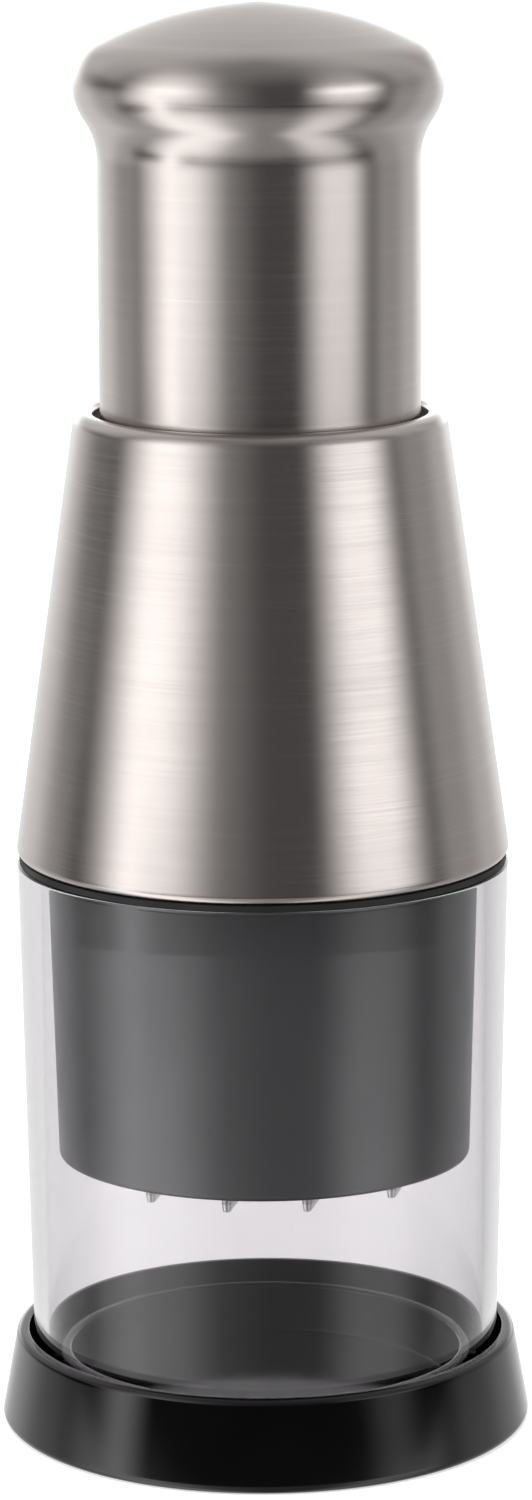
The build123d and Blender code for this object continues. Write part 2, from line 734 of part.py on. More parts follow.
with BuildPart() as shaft:
    with BuildSketch(Plane.XZ):
        with BuildLine():
            outline(
                (0, shaft_bottom_z),
                (shaft_radius - shaft_end_chamfer, shaft_bottom_z),
                (shaft_radius, shaft_bottom_z + shaft_end_chamfer),
                (shaft_radius, clip_bottom_z),
                (clip_groove_radius, clip_bottom_z),
                (clip_groove_radius, thrust_washer_bottom_z),
                (shaft_radius, thrust_washer_bottom_z),
                (shaft_radius, shaft_top_z - shaft_end_chamfer),
                (shaft_radius - shaft_end_chamfer, shaft_top_z),
                (0, shaft_top_z),
            )
        make_face()
    revolve(axis=Axis.Z)
    with BuildSketch(Plane.YZ):
        with Locations((0, pin_z)):
            Circle(pin_radius + running_fit)
    extrude(amount=2 * shaft_radius, both=True, mode=Mode.SUBTRACT)

clip_opening = 2 * clip_groove_radius - clip_opening_grip

with BuildPart() as retaining_clip:
    with BuildSketch(Plane.XY.offset(clip_bottom_z)):
        Circle(clip_radius)
        Circle(clip_groove_radius + running_fit, mode=Mode.SUBTRACT)
        with Locations((clip_radius, 0)):
            Rectangle(2 * clip_radius, clip_opening, mode=Mode.SUBTRACT)
    extrude(amount=clip_thickness)

with BuildPart() as thrust_washer:
    with BuildSketch(Plane.XY.offset(thrust_washer_bottom_z)):
        Circle(thrust_washer_radius)
        Circle(shaft_radius + running_fit, mode=Mode.SUBTRACT)
    extrude(amount=thrust_washer_thickness)

with BuildPart() as shaft_washer:
    with BuildSketch(Plane.XY.offset(core_plate_top_z)):
        Circle(washer_radius)
        Circle(shaft_radius + running_fit, mode=Mode.SUBTRACT)
    extrude(amount=washer_thickness)

with BuildPart() as shaft_nut:
    with BuildSketch(Plane.XY.offset(washer_top_z)):
        RegularPolygon(nut_flats / 2, 6, major_radius=False)
        Circle(shaft_radius + running_fit, mode=Mode.SUBTRACT)
    extrude(amount=nut_thickness)

# ---- Return spring -------------------------------------------------------------------------------------
spring_rise = spring_free_height - spring_wire
spring_start_z = spring_seat_top_z + snug_gap + spring_wire / 2

with BuildPart() as return_spring:
    with BuildLine() as coil:
        Helix(
            pitch=spring_rise / spring_turns,
            height=spring_rise,
            radius=spring_mean_radius,
            center=(0, 0, spring_start_z),
        )
    with BuildSketch(Plane(coil.line @ 0, z_dir=coil.line % 0)):
        Circle(spring_wire / 2)
    sweep(is_frenet=True)

# ---- Handle shell and core -------------------------------------------------------------------------------
knob_widest_z = knob_top_z - knob_widest_below_top
dome_centre_z = knob_top_z - knob_dome_radius
dome_to_widest = knob_widest_z - dome_centre_z
cove_angle = degrees(acos(1 - (knob_radius - handle_radius) / (knob_cove_radius + knob_bulge_radius)))
cove_bottom_z = knob_widest_z - (knob_cove_radius + knob_bulge_radius) * sin(radians(cove_angle))
# The shoulder arc is the one that meets both the widest point and the dome smoothly.
knob_shoulder_radius = (knob_dome_radius**2 - knob_radius**2 - dome_to_widest**2) / (
    2 * (knob_dome_radius - knob_radius)
)
dome_angle = degrees(asin((knob_radius - knob_shoulder_radius) / (knob_dome_radius - knob_shoulder_radius)))


def handle_curve(inset, bottom):
    """Half section of the handle's skin: cylinder, cove, bulge, shoulder and dome, moved in by an inset."""
    Line((handle_radius - inset, bottom), (handle_radius - inset, cove_bottom_z))
    CenterArc(
        (handle_radius + knob_cove_radius, cove_bottom_z),
        knob_cove_radius + inset,
        180 - cove_angle,
        cove_angle,
    )
    CenterArc(
        (knob_radius - knob_bulge_radius, knob_widest_z),
        knob_bulge_radius - inset,
        -cove_angle,
        cove_angle,
    )
    CenterArc(
        (knob_radius - knob_shoulder_radius, knob_widest_z),
        knob_shoulder_radius - inset,
        0,
        90 - dome_angle,
    )
    CenterArc((0, dome_centre_z), knob_dome_radius - inset, 90 - dome_angle, dome_angle)


handle_hem_top_z = handle_bottom_z + handle_sheet

with BuildPart() as handle_shell:
    with BuildSketch(Plane.XZ):
        with BuildLine():
            handle_curve(0, handle_bottom_z)
            Line((0, knob_top_z), (0, knob_top_z - handle_sheet))
            handle_curve(handle_sheet, handle_hem_top_z)
            Line((handle_radius - handle_sheet, handle_hem_top_z), (handle_hem_inner, handle_hem_top_z))
            Line((handle_hem_inner, handle_hem_top_z), (handle_hem_inner, handle_bottom_z))
            Line((handle_hem_inner, handle_bottom_z), (handle_radius, handle_bottom_z))
        make_face()
    revolve(axis=Axis.Z)

core_radius = handle_radius - handle_sheet - 2 * snug_gap
core_boss_radius = shaft_radius + core_boss_wall
dome_under_radius = knob_dome_radius - handle_sheet - loose_gap
core_rib_top_z = dome_centre_z + sqrt(dome_under_radius**2 - core_radius**2)

with BuildPart() as handle_core:
    with BuildSketch(Plane.XZ):
        with BuildLine():
            outline(
                (core_radius - core_tube_wall, handle_hem_top_z),
                (core_radius, handle_hem_top_z),
                (core_radius, core_plate_top_z),
                (shaft_radius + running_fit, core_plate_top_z),
                (shaft_radius + running_fit, core_plate_bottom_z - core_boss_depth),
                (core_boss_radius, core_plate_bottom_z - core_boss_depth, core_tube_wall / 2),
                (core_boss_radius, core_plate_bottom_z),
                (core_radius - core_tube_wall, core_plate_bottom_z, core_tube_wall),
            )
        make_face()
    revolve(axis=Axis.Z)
    core_rib_inner = washer_radius + loose_gap
    with BuildSketch(Plane.XY.offset(core_plate_top_z)):
        with PolarLocations((core_rib_inner + core_radius) / 2, core_rib_count):
            Rectangle(core_radius - core_rib_inner, core_rib_width)
    extrude(amount=core_rib_top_z - core_plate_top_z)

# ---- Names and files -------------------------------------------------------------------------------------
pieces = {
    "base_cap": base_cap,
    "container": container,
    "seam_gasket": seam_gasket,
    "outer_shell": outer_shell,
    "inner_housing": inner_housing,
    "guard_cup": guard_cup,
    "guide_ring": guide_ring,
    "shaft_bush": shaft_bush,
    "spring_seat_washer": spring_seat_washer,
    "stop_bumper": stop_bumper,
    "index_ring": index_ring,
    "index_ring_screws": index_ring_screws,
    "index_hub": index_hub,
    "blade_plate": blade_plate,
    "blade_plate_screws": blade_plate_screws,
    "zigzag_blade": zigzag_blade,
    "stripper_disc": stripper_disc,
    "pusher_crown": pusher_crown,
    "pusher_pin": pusher_pin,
    "shaft": shaft,
    "retaining_clip": retaining_clip,
    "thrust_washer": thrust_washer,
    "shaft_washer": shaft_washer,
    "shaft_nut": shaft_nut,
    "return_spring": return_spring,
    "handle_shell": handle_shell,
    "handle_core": handle_core,
}
os.makedirs("parts", exist_ok=True)
for name, piece in pieces.items():
    piece.part.label = name
    export_step(piece.part, f"parts/{name}.step")
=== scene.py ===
"""Dressed model of a plunger food chopper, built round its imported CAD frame.

Everything is in metres in the frame's own coordinates. Sizes in the classes of the chopper's pieces are
millimetres, as a drawing gives them, and MM turns them to metres.
"""

import logging
import math
from dataclasses import dataclass
from enum import Enum
from typing import Any

import bmesh
import bpy
from mathutils import Euler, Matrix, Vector

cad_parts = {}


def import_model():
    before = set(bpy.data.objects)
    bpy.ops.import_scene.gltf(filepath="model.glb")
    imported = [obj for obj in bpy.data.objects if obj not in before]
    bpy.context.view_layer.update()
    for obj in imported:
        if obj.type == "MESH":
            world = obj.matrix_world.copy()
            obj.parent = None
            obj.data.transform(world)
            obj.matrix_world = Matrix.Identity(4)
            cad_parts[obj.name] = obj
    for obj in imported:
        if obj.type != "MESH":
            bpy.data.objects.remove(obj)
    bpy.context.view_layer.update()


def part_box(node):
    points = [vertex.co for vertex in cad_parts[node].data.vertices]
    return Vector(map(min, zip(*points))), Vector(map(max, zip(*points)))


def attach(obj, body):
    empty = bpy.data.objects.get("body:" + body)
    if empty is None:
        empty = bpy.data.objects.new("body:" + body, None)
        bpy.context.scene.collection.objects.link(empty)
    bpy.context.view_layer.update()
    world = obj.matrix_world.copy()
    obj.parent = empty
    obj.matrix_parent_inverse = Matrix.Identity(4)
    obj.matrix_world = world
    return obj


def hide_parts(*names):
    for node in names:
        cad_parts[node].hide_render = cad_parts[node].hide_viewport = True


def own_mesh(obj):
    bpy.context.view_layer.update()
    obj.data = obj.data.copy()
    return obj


MM = 0.001
LOG = logging.getLogger("chopper")
WHITE = (1, 1, 1, 1)
SMOOTH = {"interpolation_type": "SMOOTHSTEP"}
NOISE_LOW, NOISE_HIGH = 0.2, 0.8  # a noise factor seldom leaves this stretch
ON_AXIS = 1e-6  # radius in millimetres under which a point counts as lying on the axis
PACKED_WELD, GROWN_WELD = 0.002, 0.001  # millimetres within which a mesh's points join
PACKED_SHARP, OWN_SHARP = 28.0, 35.0  # degrees past which an edge stays sharp
COIL_STEPS, WIRE_SIDES = 48, 16  # for each turn of a coil, and round its wire
Point = tuple[float, float]
Place = tuple[float, float, float]
Tree = bpy.types.NodeTree
Node = bpy.types.Node
Piece = bpy.types.Object
Mesh = bpy.types.Mesh
Link = Any  # what an input takes: a node's output, a node for its first output, or a plain value


# ---- Colour and nodes ------------------------------------------------------------------------------


def linear(hex_colour: str) -> tuple[float, float, float, float]:
    """Turn an sRGB hex colour into linear RGBA.

    Args:
        hex_colour: six hex digits, such as "c8c4c0".

    Returns:
        Linear red, green, blue and an alpha of 1.
    """
    channels = [int(hex_colour[start : start + 2], 16) / 255 for start in (0, 2, 4)]
    values = [c / 12.92 if c <= 0.04045 else ((c + 0.055) / 1.055) ** 2.4 for c in channels]
    return values[0], values[1], values[2], 1.0


def add_node(tree: Tree, kind: str, settings: dict[str, Any] | None = None, **inputs: Link) -> Node:
    """Add one node, set it up and link it.

    Args:
        tree: the shader or geometry tree.
        kind: the node's type name.
        settings: attributes of the node itself.
        inputs: socket values by name, with spaces written as underscores, or by index as i0, i1 and so
            on. A node is linked by its first output, an output by itself, and anything else is set.

    Returns:
        The new node.
    """
    node = tree.nodes.new(kind)
    for name, value in (settings or {}).items():
        setattr(node, name, value)
    for name, value in inputs.items():
        is_index = name[0] == "i" and name[1:].isdigit()
        socket = node.inputs[int(name[1:]) if is_index else name.replace("_", " ")]
        if isinstance(value, Node):
            value = value.outputs[0]
        if isinstance(value, bpy.types.NodeSocket):
            tree.links.new(value, socket)
        else:
            socket.default_value = value
    return node


def blank_material(title: str) -> tuple[bpy.types.Material, Tree]:
    """Start a node material.

    Args:
        title: the material's name.

    Returns:
        The material and its empty tree.
    """
    material = bpy.data.materials.new(title)
    material.use_nodes = True
    material.node_tree.nodes.clear()
    return material, material.node_tree


def compass(tree: Tree, vector: Link) -> tuple[Node, Any]:
    """Direction round the object, 0 towards the camera and positive to its right.

    Args:
        tree: the node tree.
        vector: the direction or place.

    Returns:
        The degrees, and the vector's three parts.
    """
    part = add_node(tree, "ShaderNodeSeparateXYZ", Vector=vector).outputs
    ahead = add_node(tree, "ShaderNodeMath", {"operation": "MULTIPLY"}, i0=part[1], i1=-1.0)
    turn = add_node(tree, "ShaderNodeMath", {"operation": "ARCTAN2"}, i0=part[0], i1=ahead)
    return add_node(tree, "ShaderNodeMath", {"operation": "DEGREES"}, i0=turn), part


def beside(
    tree: Tree, degrees: Link, direction: float, start: float, end: float, first: float = 0.0
) -> Link:
    """Value that changes smoothly to 1 with the angle away from a direction.

    Args:
        tree: the node tree.
        degrees: the angle round the object.
        direction: the direction in degrees.
        start: angle away from it at which the change starts.
        end: angle away from it at which the value is 1.
        first: value where the change starts.

    Returns:
        The value.
    """
    off = add_node(tree, "ShaderNodeMath", {"operation": "SUBTRACT"}, i0=degrees, i1=direction)
    wrapped = add_node(tree, "ShaderNodeMath", {"operation": "WRAP"}, i0=off, i1=180.0, i2=-180.0)
    away = add_node(tree, "ShaderNodeMath", {"operation": "ABSOLUTE"}, i0=wrapped)
    return add_node(
        tree, "ShaderNodeMapRange", SMOOTH, Value=away, From_Min=start, From_Max=end, To_Min=first
    )


def bounced(tree: Tree, bounce: str) -> Link:
    """Value that is 1 for light paths that have already bounced in one way, and 0 for others.

    Args:
        tree: the node tree.
        bounce: "Glossy" or "Diffuse".

    Returns:
        The value.
    """
    depth = add_node(tree, "ShaderNodeLightPath").outputs[f"{bounce} Depth"]
    return add_node(tree, "ShaderNodeMath", {"operation": "GREATER_THAN"}, i0=depth, i1=0.5)


def link_object(name: str, data: Any) -> Piece:
    """Put a mesh, a lamp or a camera in the scene.

    Args:
        name: the object's name.
        data: what it holds.

    Returns:
        The new object.
    """
    thing = bpy.data.objects.new(name, data)
    bpy.context.scene.collection.objects.link(thing)
    return thing


def whole_turn(count: int) -> list[float]:
    """Angles in radians of evenly spaced places round a circle."""
    return [2 * math.pi * index / count for index in range(count)]


def kept_mesh(form: bmesh.types.BMesh, name: str) -> Mesh:
    """Keep an edited form as a mesh.

    Args:
        form: the form, which is freed.
        name: the mesh's name.

    Returns:
        The mesh.
    """
    mesh = bpy.data.meshes.new(name)
    form.to_mesh(mesh)
    form.free()
    return mesh


# ---- Finishes --------------------------------------------------------------------------------------


@dataclass(frozen=True)
class Finish:
    """A surface finish. Each kind of material fills in its own surface."""

    title: str

    def build(self) -> bpy.types.Material:
        """Make the node material.

        Returns:
            The finished material.
        """
        material, tree = blank_material(self.title)
        add_node(tree, "ShaderNodeOutputMaterial", Surface=self.surface(tree))
        return material

    def surface(self, tree: Tree) -> Node:
        """Add the finish's own nodes.

        Args:
            tree: the material's node tree.

        Returns:
            The shader node.
        """
        raise NotImplementedError

    def noise(self, tree: Tree, vector: Link, size_mm: float, detail: float = 2.0) -> Link:
        """Noise whose features measure size_mm where the vector is in metres.

        Args:
            tree: the material's node tree.
            vector: the position.
            size_mm: feature size in millimetres.
            detail: octaves of finer noise.

        Returns:
            The noise factor.
        """
        return add_node(
            tree, "ShaderNodeTexNoise", Vector=vector, Scale=1 / (size_mm * MM), Detail=detail
        )

    def spread(self, tree: Tree, factor: Link, low: float, high: float) -> Link:
        """Map a noise factor's middle stretch to a range of values.

        Args:
            tree: the material's node tree.
            factor: the noise factor.
            low: value where the noise is lowest.
            high: value where it is highest.

        Returns:
            The mapped value.
        """
        return add_node(
            tree,
            "ShaderNodeMapRange",
            SMOOTH,
            Value=factor,
            From_Min=NOISE_LOW,
            From_Max=NOISE_HIGH,
            To_Min=low,
            To_Max=high,
        )

    def gloss(self, tree: Tree, factor: Link, roughness: float, shares: tuple[float, float]) -> Link:
        """Roughness that changes with a noise factor.

        Args:
            tree: the material's node tree.
            factor: the noise factor.
            roughness: the finish's own roughness.
            shares: lowest and highest roughness, as shares of the finish's own.

        Returns:
            The roughness.
        """
        return self.spread(tree, factor, roughness * shares[0], roughness * shares[1])

    def mix(self, tree: Tree, factor: Link, first: Link, second: Link) -> Link:
        """Blend two colours.

        Args:
            tree: the material's node tree.
            factor: the share of the second.
            first: colour at factor 0.
            second: colour at factor 1.

        Returns:
            The blended colour.
        """
        return add_node(
            tree, "ShaderNodeMix", {"data_type": "RGBA"}, Factor=factor, i6=first, i7=second
        ).outputs[2]

    def object_position(self, tree: Tree) -> Link:
        """Position on the piece in metres."""
        return add_node(tree, "ShaderNodeTexCoord").outputs["Object"]

    def bump(self, tree: Tree, height: Link, strength: float, depth_mm: float) -> Link:
        """Relief too small to model.

        Args:
            tree: the material's node tree.
            height: the relief, from 0 to 1.
            strength: how much of the relief shows.
            depth_mm: the relief's depth in millimetres.

        Returns:
            The bent normal.
        """
        return add_node(tree, "ShaderNodeBump", Strength=strength, Distance=depth_mm * MM, Height=height)


@dataclass(frozen=True)
class TurnedBrushedSteel(Finish):
    """Stainless steel, AISI 304 sheet, spun and then brushed while turning.

    The abrasive belt leaves fine lines that run round the axis. They spread reflections along the axis
    and leave them sharp across it, so lights show as upright bands.
    """

    colour: str = "cfc8c5"
    worn_colour: str = "bdb6b3"
    roughness: float = 0.22
    anisotropy: float = 0.8
    line_mm: float = 0.22  # coarser than a real belt's line of 0.05 mm, to show in a render
    broad_lines: float = 9.0  # width of the bands of lines, in lines
    blotch_mm: float = 14.0
    blotch_change: float = 0.02
    stretch: float = 0.012  # of the pattern round the axis
    groove_strength: float = 0.05
    groove_mm: float = 0.02
    gloss_shares: tuple[float, float] = (0.85, 1.15)  # lowest and highest, of the roughness
    spread_turn: float = 0.25  # of a turn, from the tangent to the way in which reflections spread

    def surface(self, tree: Tree) -> Node:
        """Brush lines follow the turned profile, and faint blotches break them up.

        Args:
            tree: the material's node tree.

        Returns:
            The shader node.
        """
        along = add_node(tree, "ShaderNodeUVMap", {"uv_map": "turned"})
        profile = add_node(tree, "ShaderNodeSeparateXYZ", Vector=along).outputs[1]
        place = self.object_position(tree)
        split = add_node(tree, "ShaderNodeSeparateXYZ", Vector=place)
        across_x, across_y = (
            add_node(
                tree, "ShaderNodeMath", {"operation": "MULTIPLY"}, i0=split.outputs[axis], i1=self.stretch
            )
            for axis in (0, 1)
        )
        streak = add_node(tree, "ShaderNodeCombineXYZ", X=across_x, Y=across_y, Z=profile)
        fine = self.noise(tree, streak, self.line_mm, detail=3.0)
        broad = self.noise(tree, streak, self.line_mm * self.broad_lines)
        blotch = self.noise(tree, place, self.blotch_mm, detail=3.0)
        wear = add_node(tree, "ShaderNodeMath", {"operation": "MULTIPLY"}, i0=fine, i1=broad)
        colour = self.mix(
            tree, self.spread(tree, wear, 0.0, 1.0), linear(self.worn_colour), linear(self.colour)
        )
        rough_lines = self.gloss(tree, fine, self.roughness, self.gloss_shares)
        roughness = add_node(
            tree,
            "ShaderNodeMath",
            {"operation": "ADD"},
            i0=rough_lines,
            i1=self.spread(tree, blotch, -self.blotch_change, self.blotch_change),
        )
        tangent = add_node(tree, "ShaderNodeTangent", {"direction_type": "UV_MAP", "uv_map": "turned"})
        return add_node(
            tree,
            "ShaderNodeBsdfPrincipled",
            Base_Color=colour,
            Metallic=1.0,
            Roughness=roughness,
            Anisotropic=self.anisotropy,
            Anisotropic_Rotation=self.spread_turn,
            Tangent=tangent,
            Normal=self.bump(tree, fine, self.groove_strength, self.groove_mm),
        )


@dataclass(frozen=True)
class GroundBladeSteel(Finish):
    """Stainless strip, AISI 420, rolled bright with a ground cutting bevel.

    Rolling leaves faint lengthwise lines; the bevel is brighter, with grinding marks across the edge.
    """

    colour: str = "c4c4c2"
    bevel_colour: str = "e2e2e0"
    bevel_top: float = 0.0425  # height in metres, with the plunger up
    roughness: float = 0.2
    roll_mm: float = 0.25
    grind_mm: float = 0.2
    stretch: float = 0.05  # of the lines, along their own direction
    groove_strength: float = 0.1
    groove_mm: float = 0.02
    gloss_shares: tuple[float, float] = (0.7, 1.3)

    def surface(self, tree: Tree) -> Node:
        """The bevel is picked out by height, and its grinding marks stand upright.

        Args:
            tree: the material's node tree.

        Returns:
            The shader node.
        """
        place = self.object_position(tree)
        height = add_node(tree, "ShaderNodeSeparateXYZ", Vector=place).outputs[2]
        is_bevel = add_node(
            tree, "ShaderNodeMath", {"operation": "LESS_THAN"}, i0=height, i1=self.bevel_top
        )
        rolled, upright = (
            add_node(tree, "ShaderNodeMapping", Vector=place, Scale=scale)
            for scale in ((self.stretch, self.stretch, 1.0), (1.0, 1.0, self.stretch))
        )
        roll_lines = self.noise(tree, rolled, self.roll_mm, detail=3.0)
        grind_lines = self.noise(tree, upright, self.grind_mm)
        lines = add_node(
            tree, "ShaderNodeMix", {"data_type": "FLOAT"}, Factor=is_bevel, i2=roll_lines, i3=grind_lines
        )
        colour = self.mix(tree, is_bevel, linear(self.colour), linear(self.bevel_colour))
        return add_node(
            tree,
            "ShaderNodeBsdfPrincipled",
            Base_Color=colour,
            Metallic=1.0,
            Roughness=self.gloss(tree, lines, self.roughness, self.gloss_shares),
            Normal=self.bump(tree, lines, self.groove_strength, self.groove_mm),
        )


@dataclass(frozen=True)
class BrightSteel(Finish):
    """Zinc-plated or drawn steel of small hardware: even, slightly grainy, no direction."""

    colour: str = "b9b9b7"
    shade: str = "9c9c9a"
    roughness: float = 0.28
    grain_mm: float = 0.35
    cloud_grains: float = 12.0  # width of the soft clouds, in grains
    grain_strength: float = 0.08
    grain_depth_mm: float = 0.03
    gloss_shares: tuple[float, float] = (0.8, 1.25)

    def surface(self, tree: Tree) -> Node:
        """Plating shows as a fine grain in colour and gloss.

        Args:
            tree: the material's node tree.

        Returns:
            The shader node.
        """
        place = self.object_position(tree)
        grain = self.noise(tree, place, self.grain_mm, detail=3.0)
        cloud = self.noise(tree, place, self.grain_mm * self.cloud_grains)
        return add_node(
            tree,
            "ShaderNodeBsdfPrincipled",
            Base_Color=self.mix(tree, cloud, linear(self.shade), linear(self.colour)),
            Metallic=1.0,
            Roughness=self.gloss(tree, grain, self.roughness, self.gloss_shares),
            Normal=self.bump(tree, grain, self.grain_strength, self.grain_depth_mm),
        )


@dataclass(frozen=True)
class MouldedPlastic(Finish):
    """Injection-moulded plastic such as ABS, polypropylene or acetal.

    The mould's texture sets the gloss: polished tools give a mirror, sparked ones a fine matt grain.
    """

    colour: str = "0b0b0c"
    shade: str = "070708"
    roughness: float = 0.3
    grain_mm: float = 0.3
    grain_strength: float = 0.1
    grain_depth_mm: float = 0.05
    mark_mm: float = 9.0
    flow_mm: float = 25.0
    gloss_shares: tuple[float, float] = (0.85, 1.2)
    ior: float = 1.53

    def surface(self, tree: Tree) -> Node:
        """Mould grain in the bump, handling marks in the gloss, and slow shifts of colour.

        Args:
            tree: the material's node tree.

        Returns:
            The shader node.
        """
        place = self.object_position(tree)
        grain = self.noise(tree, place, self.grain_mm)
        marks = self.noise(tree, place, self.mark_mm, detail=1.0)
        flow = self.noise(tree, place, self.flow_mm, detail=1.0)
        return add_node(
            tree,
            "ShaderNodeBsdfPrincipled",
            Base_Color=self.mix(tree, flow, linear(self.shade), linear(self.colour)),
            Roughness=self.gloss(tree, marks, self.roughness, self.gloss_shares),
            IOR=self.ior,
            Normal=self.bump(tree, grain, self.grain_strength, self.grain_depth_mm),
        )


@dataclass(frozen=True)
class ClearStyrene(Finish):
    """Clear SAN, moulded in a polished tool: glassy, with the faintest scuffs from use."""

    colour: str = "e2e0e2"
    shade: str = "dedcde"
    scuff_mm: float = 9.0
    ripple_mm: float = 30.0
    ripple_strength: float = 0.01
    ripple_depth_mm: float = 0.3
    ior: float = 1.45
    roughness: float = 0.006

    def surface(self, tree: Tree) -> Node:
        """Scuffs only tint the body a little; it stays clear and evenly glossy.

        Args:
            tree: the material's node tree.

        Returns:
            The shader node.
        """
        place = self.object_position(tree)
        scuffs = self.noise(tree, place, self.scuff_mm, detail=5.0)
        ripple = self.noise(tree, place, self.ripple_mm, detail=1.0)
        return add_node(
            tree,
            "ShaderNodeBsdfPrincipled",
            Base_Color=self.mix(tree, scuffs, linear(self.shade), linear(self.colour)),
            Roughness=self.roughness,
            IOR=self.ior,
            Transmission_Weight=1.0,
            Normal=self.bump(tree, ripple, self.ripple_strength, self.ripple_depth_mm),
        )


class Stock(Enum):
    """The finishes that the chopper's pieces are made in, each with a slot name."""

    HANDLE_STEEL = (TurnedBrushedSteel("handle_stainless_turned_brush"), "handle_brushed_steel")
    SHELL_STEEL = (TurnedBrushedSteel("shell_stainless_turned_brush"), "shell_brushed_steel")
    BLADE_STEEL = (GroundBladeSteel("blade_stainless_ground_strip"), "blade_steel")
    FASTENER_STEEL = (BrightSteel("fastener_zinc_plated_steel", roughness=0.2), "fastener_steel")
    SPRING_STEEL = (
        BrightSteel("spring_drawn_wire_steel", colour="8f8f8d", shade="6f6f6d", roughness=0.38),
        "spring_steel",
    )
    BASE_ABS = (
        MouldedPlastic(
            "base_abs_polished_black", "0a0a0b", "060607", roughness=0.1, grain_strength=0.01
        ),
        "base_gloss_black",
    )
    LINER_ABS = (
        MouldedPlastic("liner_abs_black_spark_grain", "101011", "0a0a0b", roughness=0.5),
        "housing_black_plastic",
    )
    GUARD_PP = (
        MouldedPlastic(
            "guard_polypropylene_satin_grey",
            "393b3f",
            "35373b",
            roughness=0.34,
            grain_strength=0.01,
            ior=1.8,
        ),
        "guard_dark_grey",
    )
    GUIDE_ACETAL = (
        MouldedPlastic(
            "guide_acetal_natural_white",
            "e6e5e0",
            "dcdbd5",
            roughness=0.35,
            grain_strength=0.04,
            ior=1.48,
        ),
        "guide_white_acetal",
    )
    SEAL_RUBBER = (
        MouldedPlastic("seal_thermoplastic_rubber_black", "0c0c0c", "070707", roughness=0.6),
        "gasket_rubber",
    )
    CONTAINER_SAN = (ClearStyrene("container_clear_styrene"), "container_clear")

    @property
    def finish(self) -> Finish:
        """The finish itself."""
        return self.value[0]

    @property
    def slot(self) -> str:
        """The slot name for this finish."""
        return self.value[1]

    def material(self) -> bpy.types.Material:
        """The finish's material, built at its first use."""
        return bpy.data.materials.get(self.finish.title) or self.finish.build()


# ---- Mesh work -------------------------------------------------------------------------------------


def arc(centre: Point, radius: float, start: float, end: float, step: float = 3.0) -> list[Point]:
    """Points on an arc in the radius and height plane.

    Args:
        centre: radius and height of the centre.
        radius: the arc's radius.
        start: first angle in degrees, 0 pointing outwards and 90 up.
        end: last angle in degrees.
        step: largest angle between points.

    Returns:
        The points, from start to end.
    """
    count = max(1, math.ceil(abs(end - start) / step))
    angles = [math.radians(start + (end - start) * index / count) for index in range(count + 1)]
    return [(centre[0] + radius * math.cos(a), centre[1] + radius * math.sin(a)) for a in angles]


def rounded(corners: list[tuple[float, ...]], step: float = 9.0) -> list[Point]:
    """Closed profile with its corners rounded.

    Args:
        corners: radius and height of each corner, and the rounding where it has one.
        step: largest angle between the points of a rounding, in degrees.

    Returns:
        Points of the profile.
    """
    points: list[Point] = []
    for index, corner in enumerate(corners):
        here = Vector(corner[:2])
        if len(corner) < 3:
            points.append((here.x, here.y))
            continue
        before = (Vector(corners[index - 1][:2]) - here).normalized()
        after = (Vector(corners[(index + 1) % len(corners)][:2]) - here).normalized()
        half = before.angle(after) / 2
        centre = here + (before + after).normalized() * (corner[2] / math.sin(half))
        first = here + before * (corner[2] / math.tan(half)) - centre
        last = here + after * (corner[2] / math.tan(half)) - centre
        start = math.degrees(math.atan2(first.y, first.x))
        turn = (math.degrees(math.atan2(last.y, last.x)) - start + 180) % 360 - 180
        points += arc((centre.x, centre.y), corner[2], start, start + turn, step)
    return points


def supported(profile: list[Point], longest: float = 6.0, near_end: float = 0.3) -> list[Point]:
    """Add points on the straight runs of a closed profile, so that shading stays true beside its bends.

    Args:
        profile: the closed profile in millimetres.
        longest: longest run without a point.
        near_end: how far from a run's ends its first and last extra points lie.

    Returns:
        The profile with the extra points.
    """
    points: list[Point] = []
    for index, start in enumerate(profile):
        end = profile[(index + 1) % len(profile)]
        points.append(start)
        run = math.dist(start, end)
        if run < 4 * near_end:
            continue
        inner = max(1, math.ceil((run - 2 * near_end) / longest))
        places = [near_end + (run - 2 * near_end) * step / inner for step in range(inner + 1)]
        for place in places:
            share = place / run
            points.append(
                (start[0] + (end[0] - start[0]) * share, start[1] + (end[1] - start[1]) * share)
            )
    return points


def link_piece(name: str, mesh: Mesh, sharp_angle: float = OWN_SHARP) -> Piece:
    """Make a mesh an object in the scene, smooth but for its sharp edges.

    Args:
        name: the piece's name.
        mesh: its mesh, in metres in the frame's coordinates.
        sharp_angle: edges that turn more than this many degrees stay sharp.

    Returns:
        The new object.
    """
    mesh.name = name
    mesh.shade_smooth()
    mesh.set_sharp_from_angle(angle=math.radians(sharp_angle))
    return link_object(name, mesh)


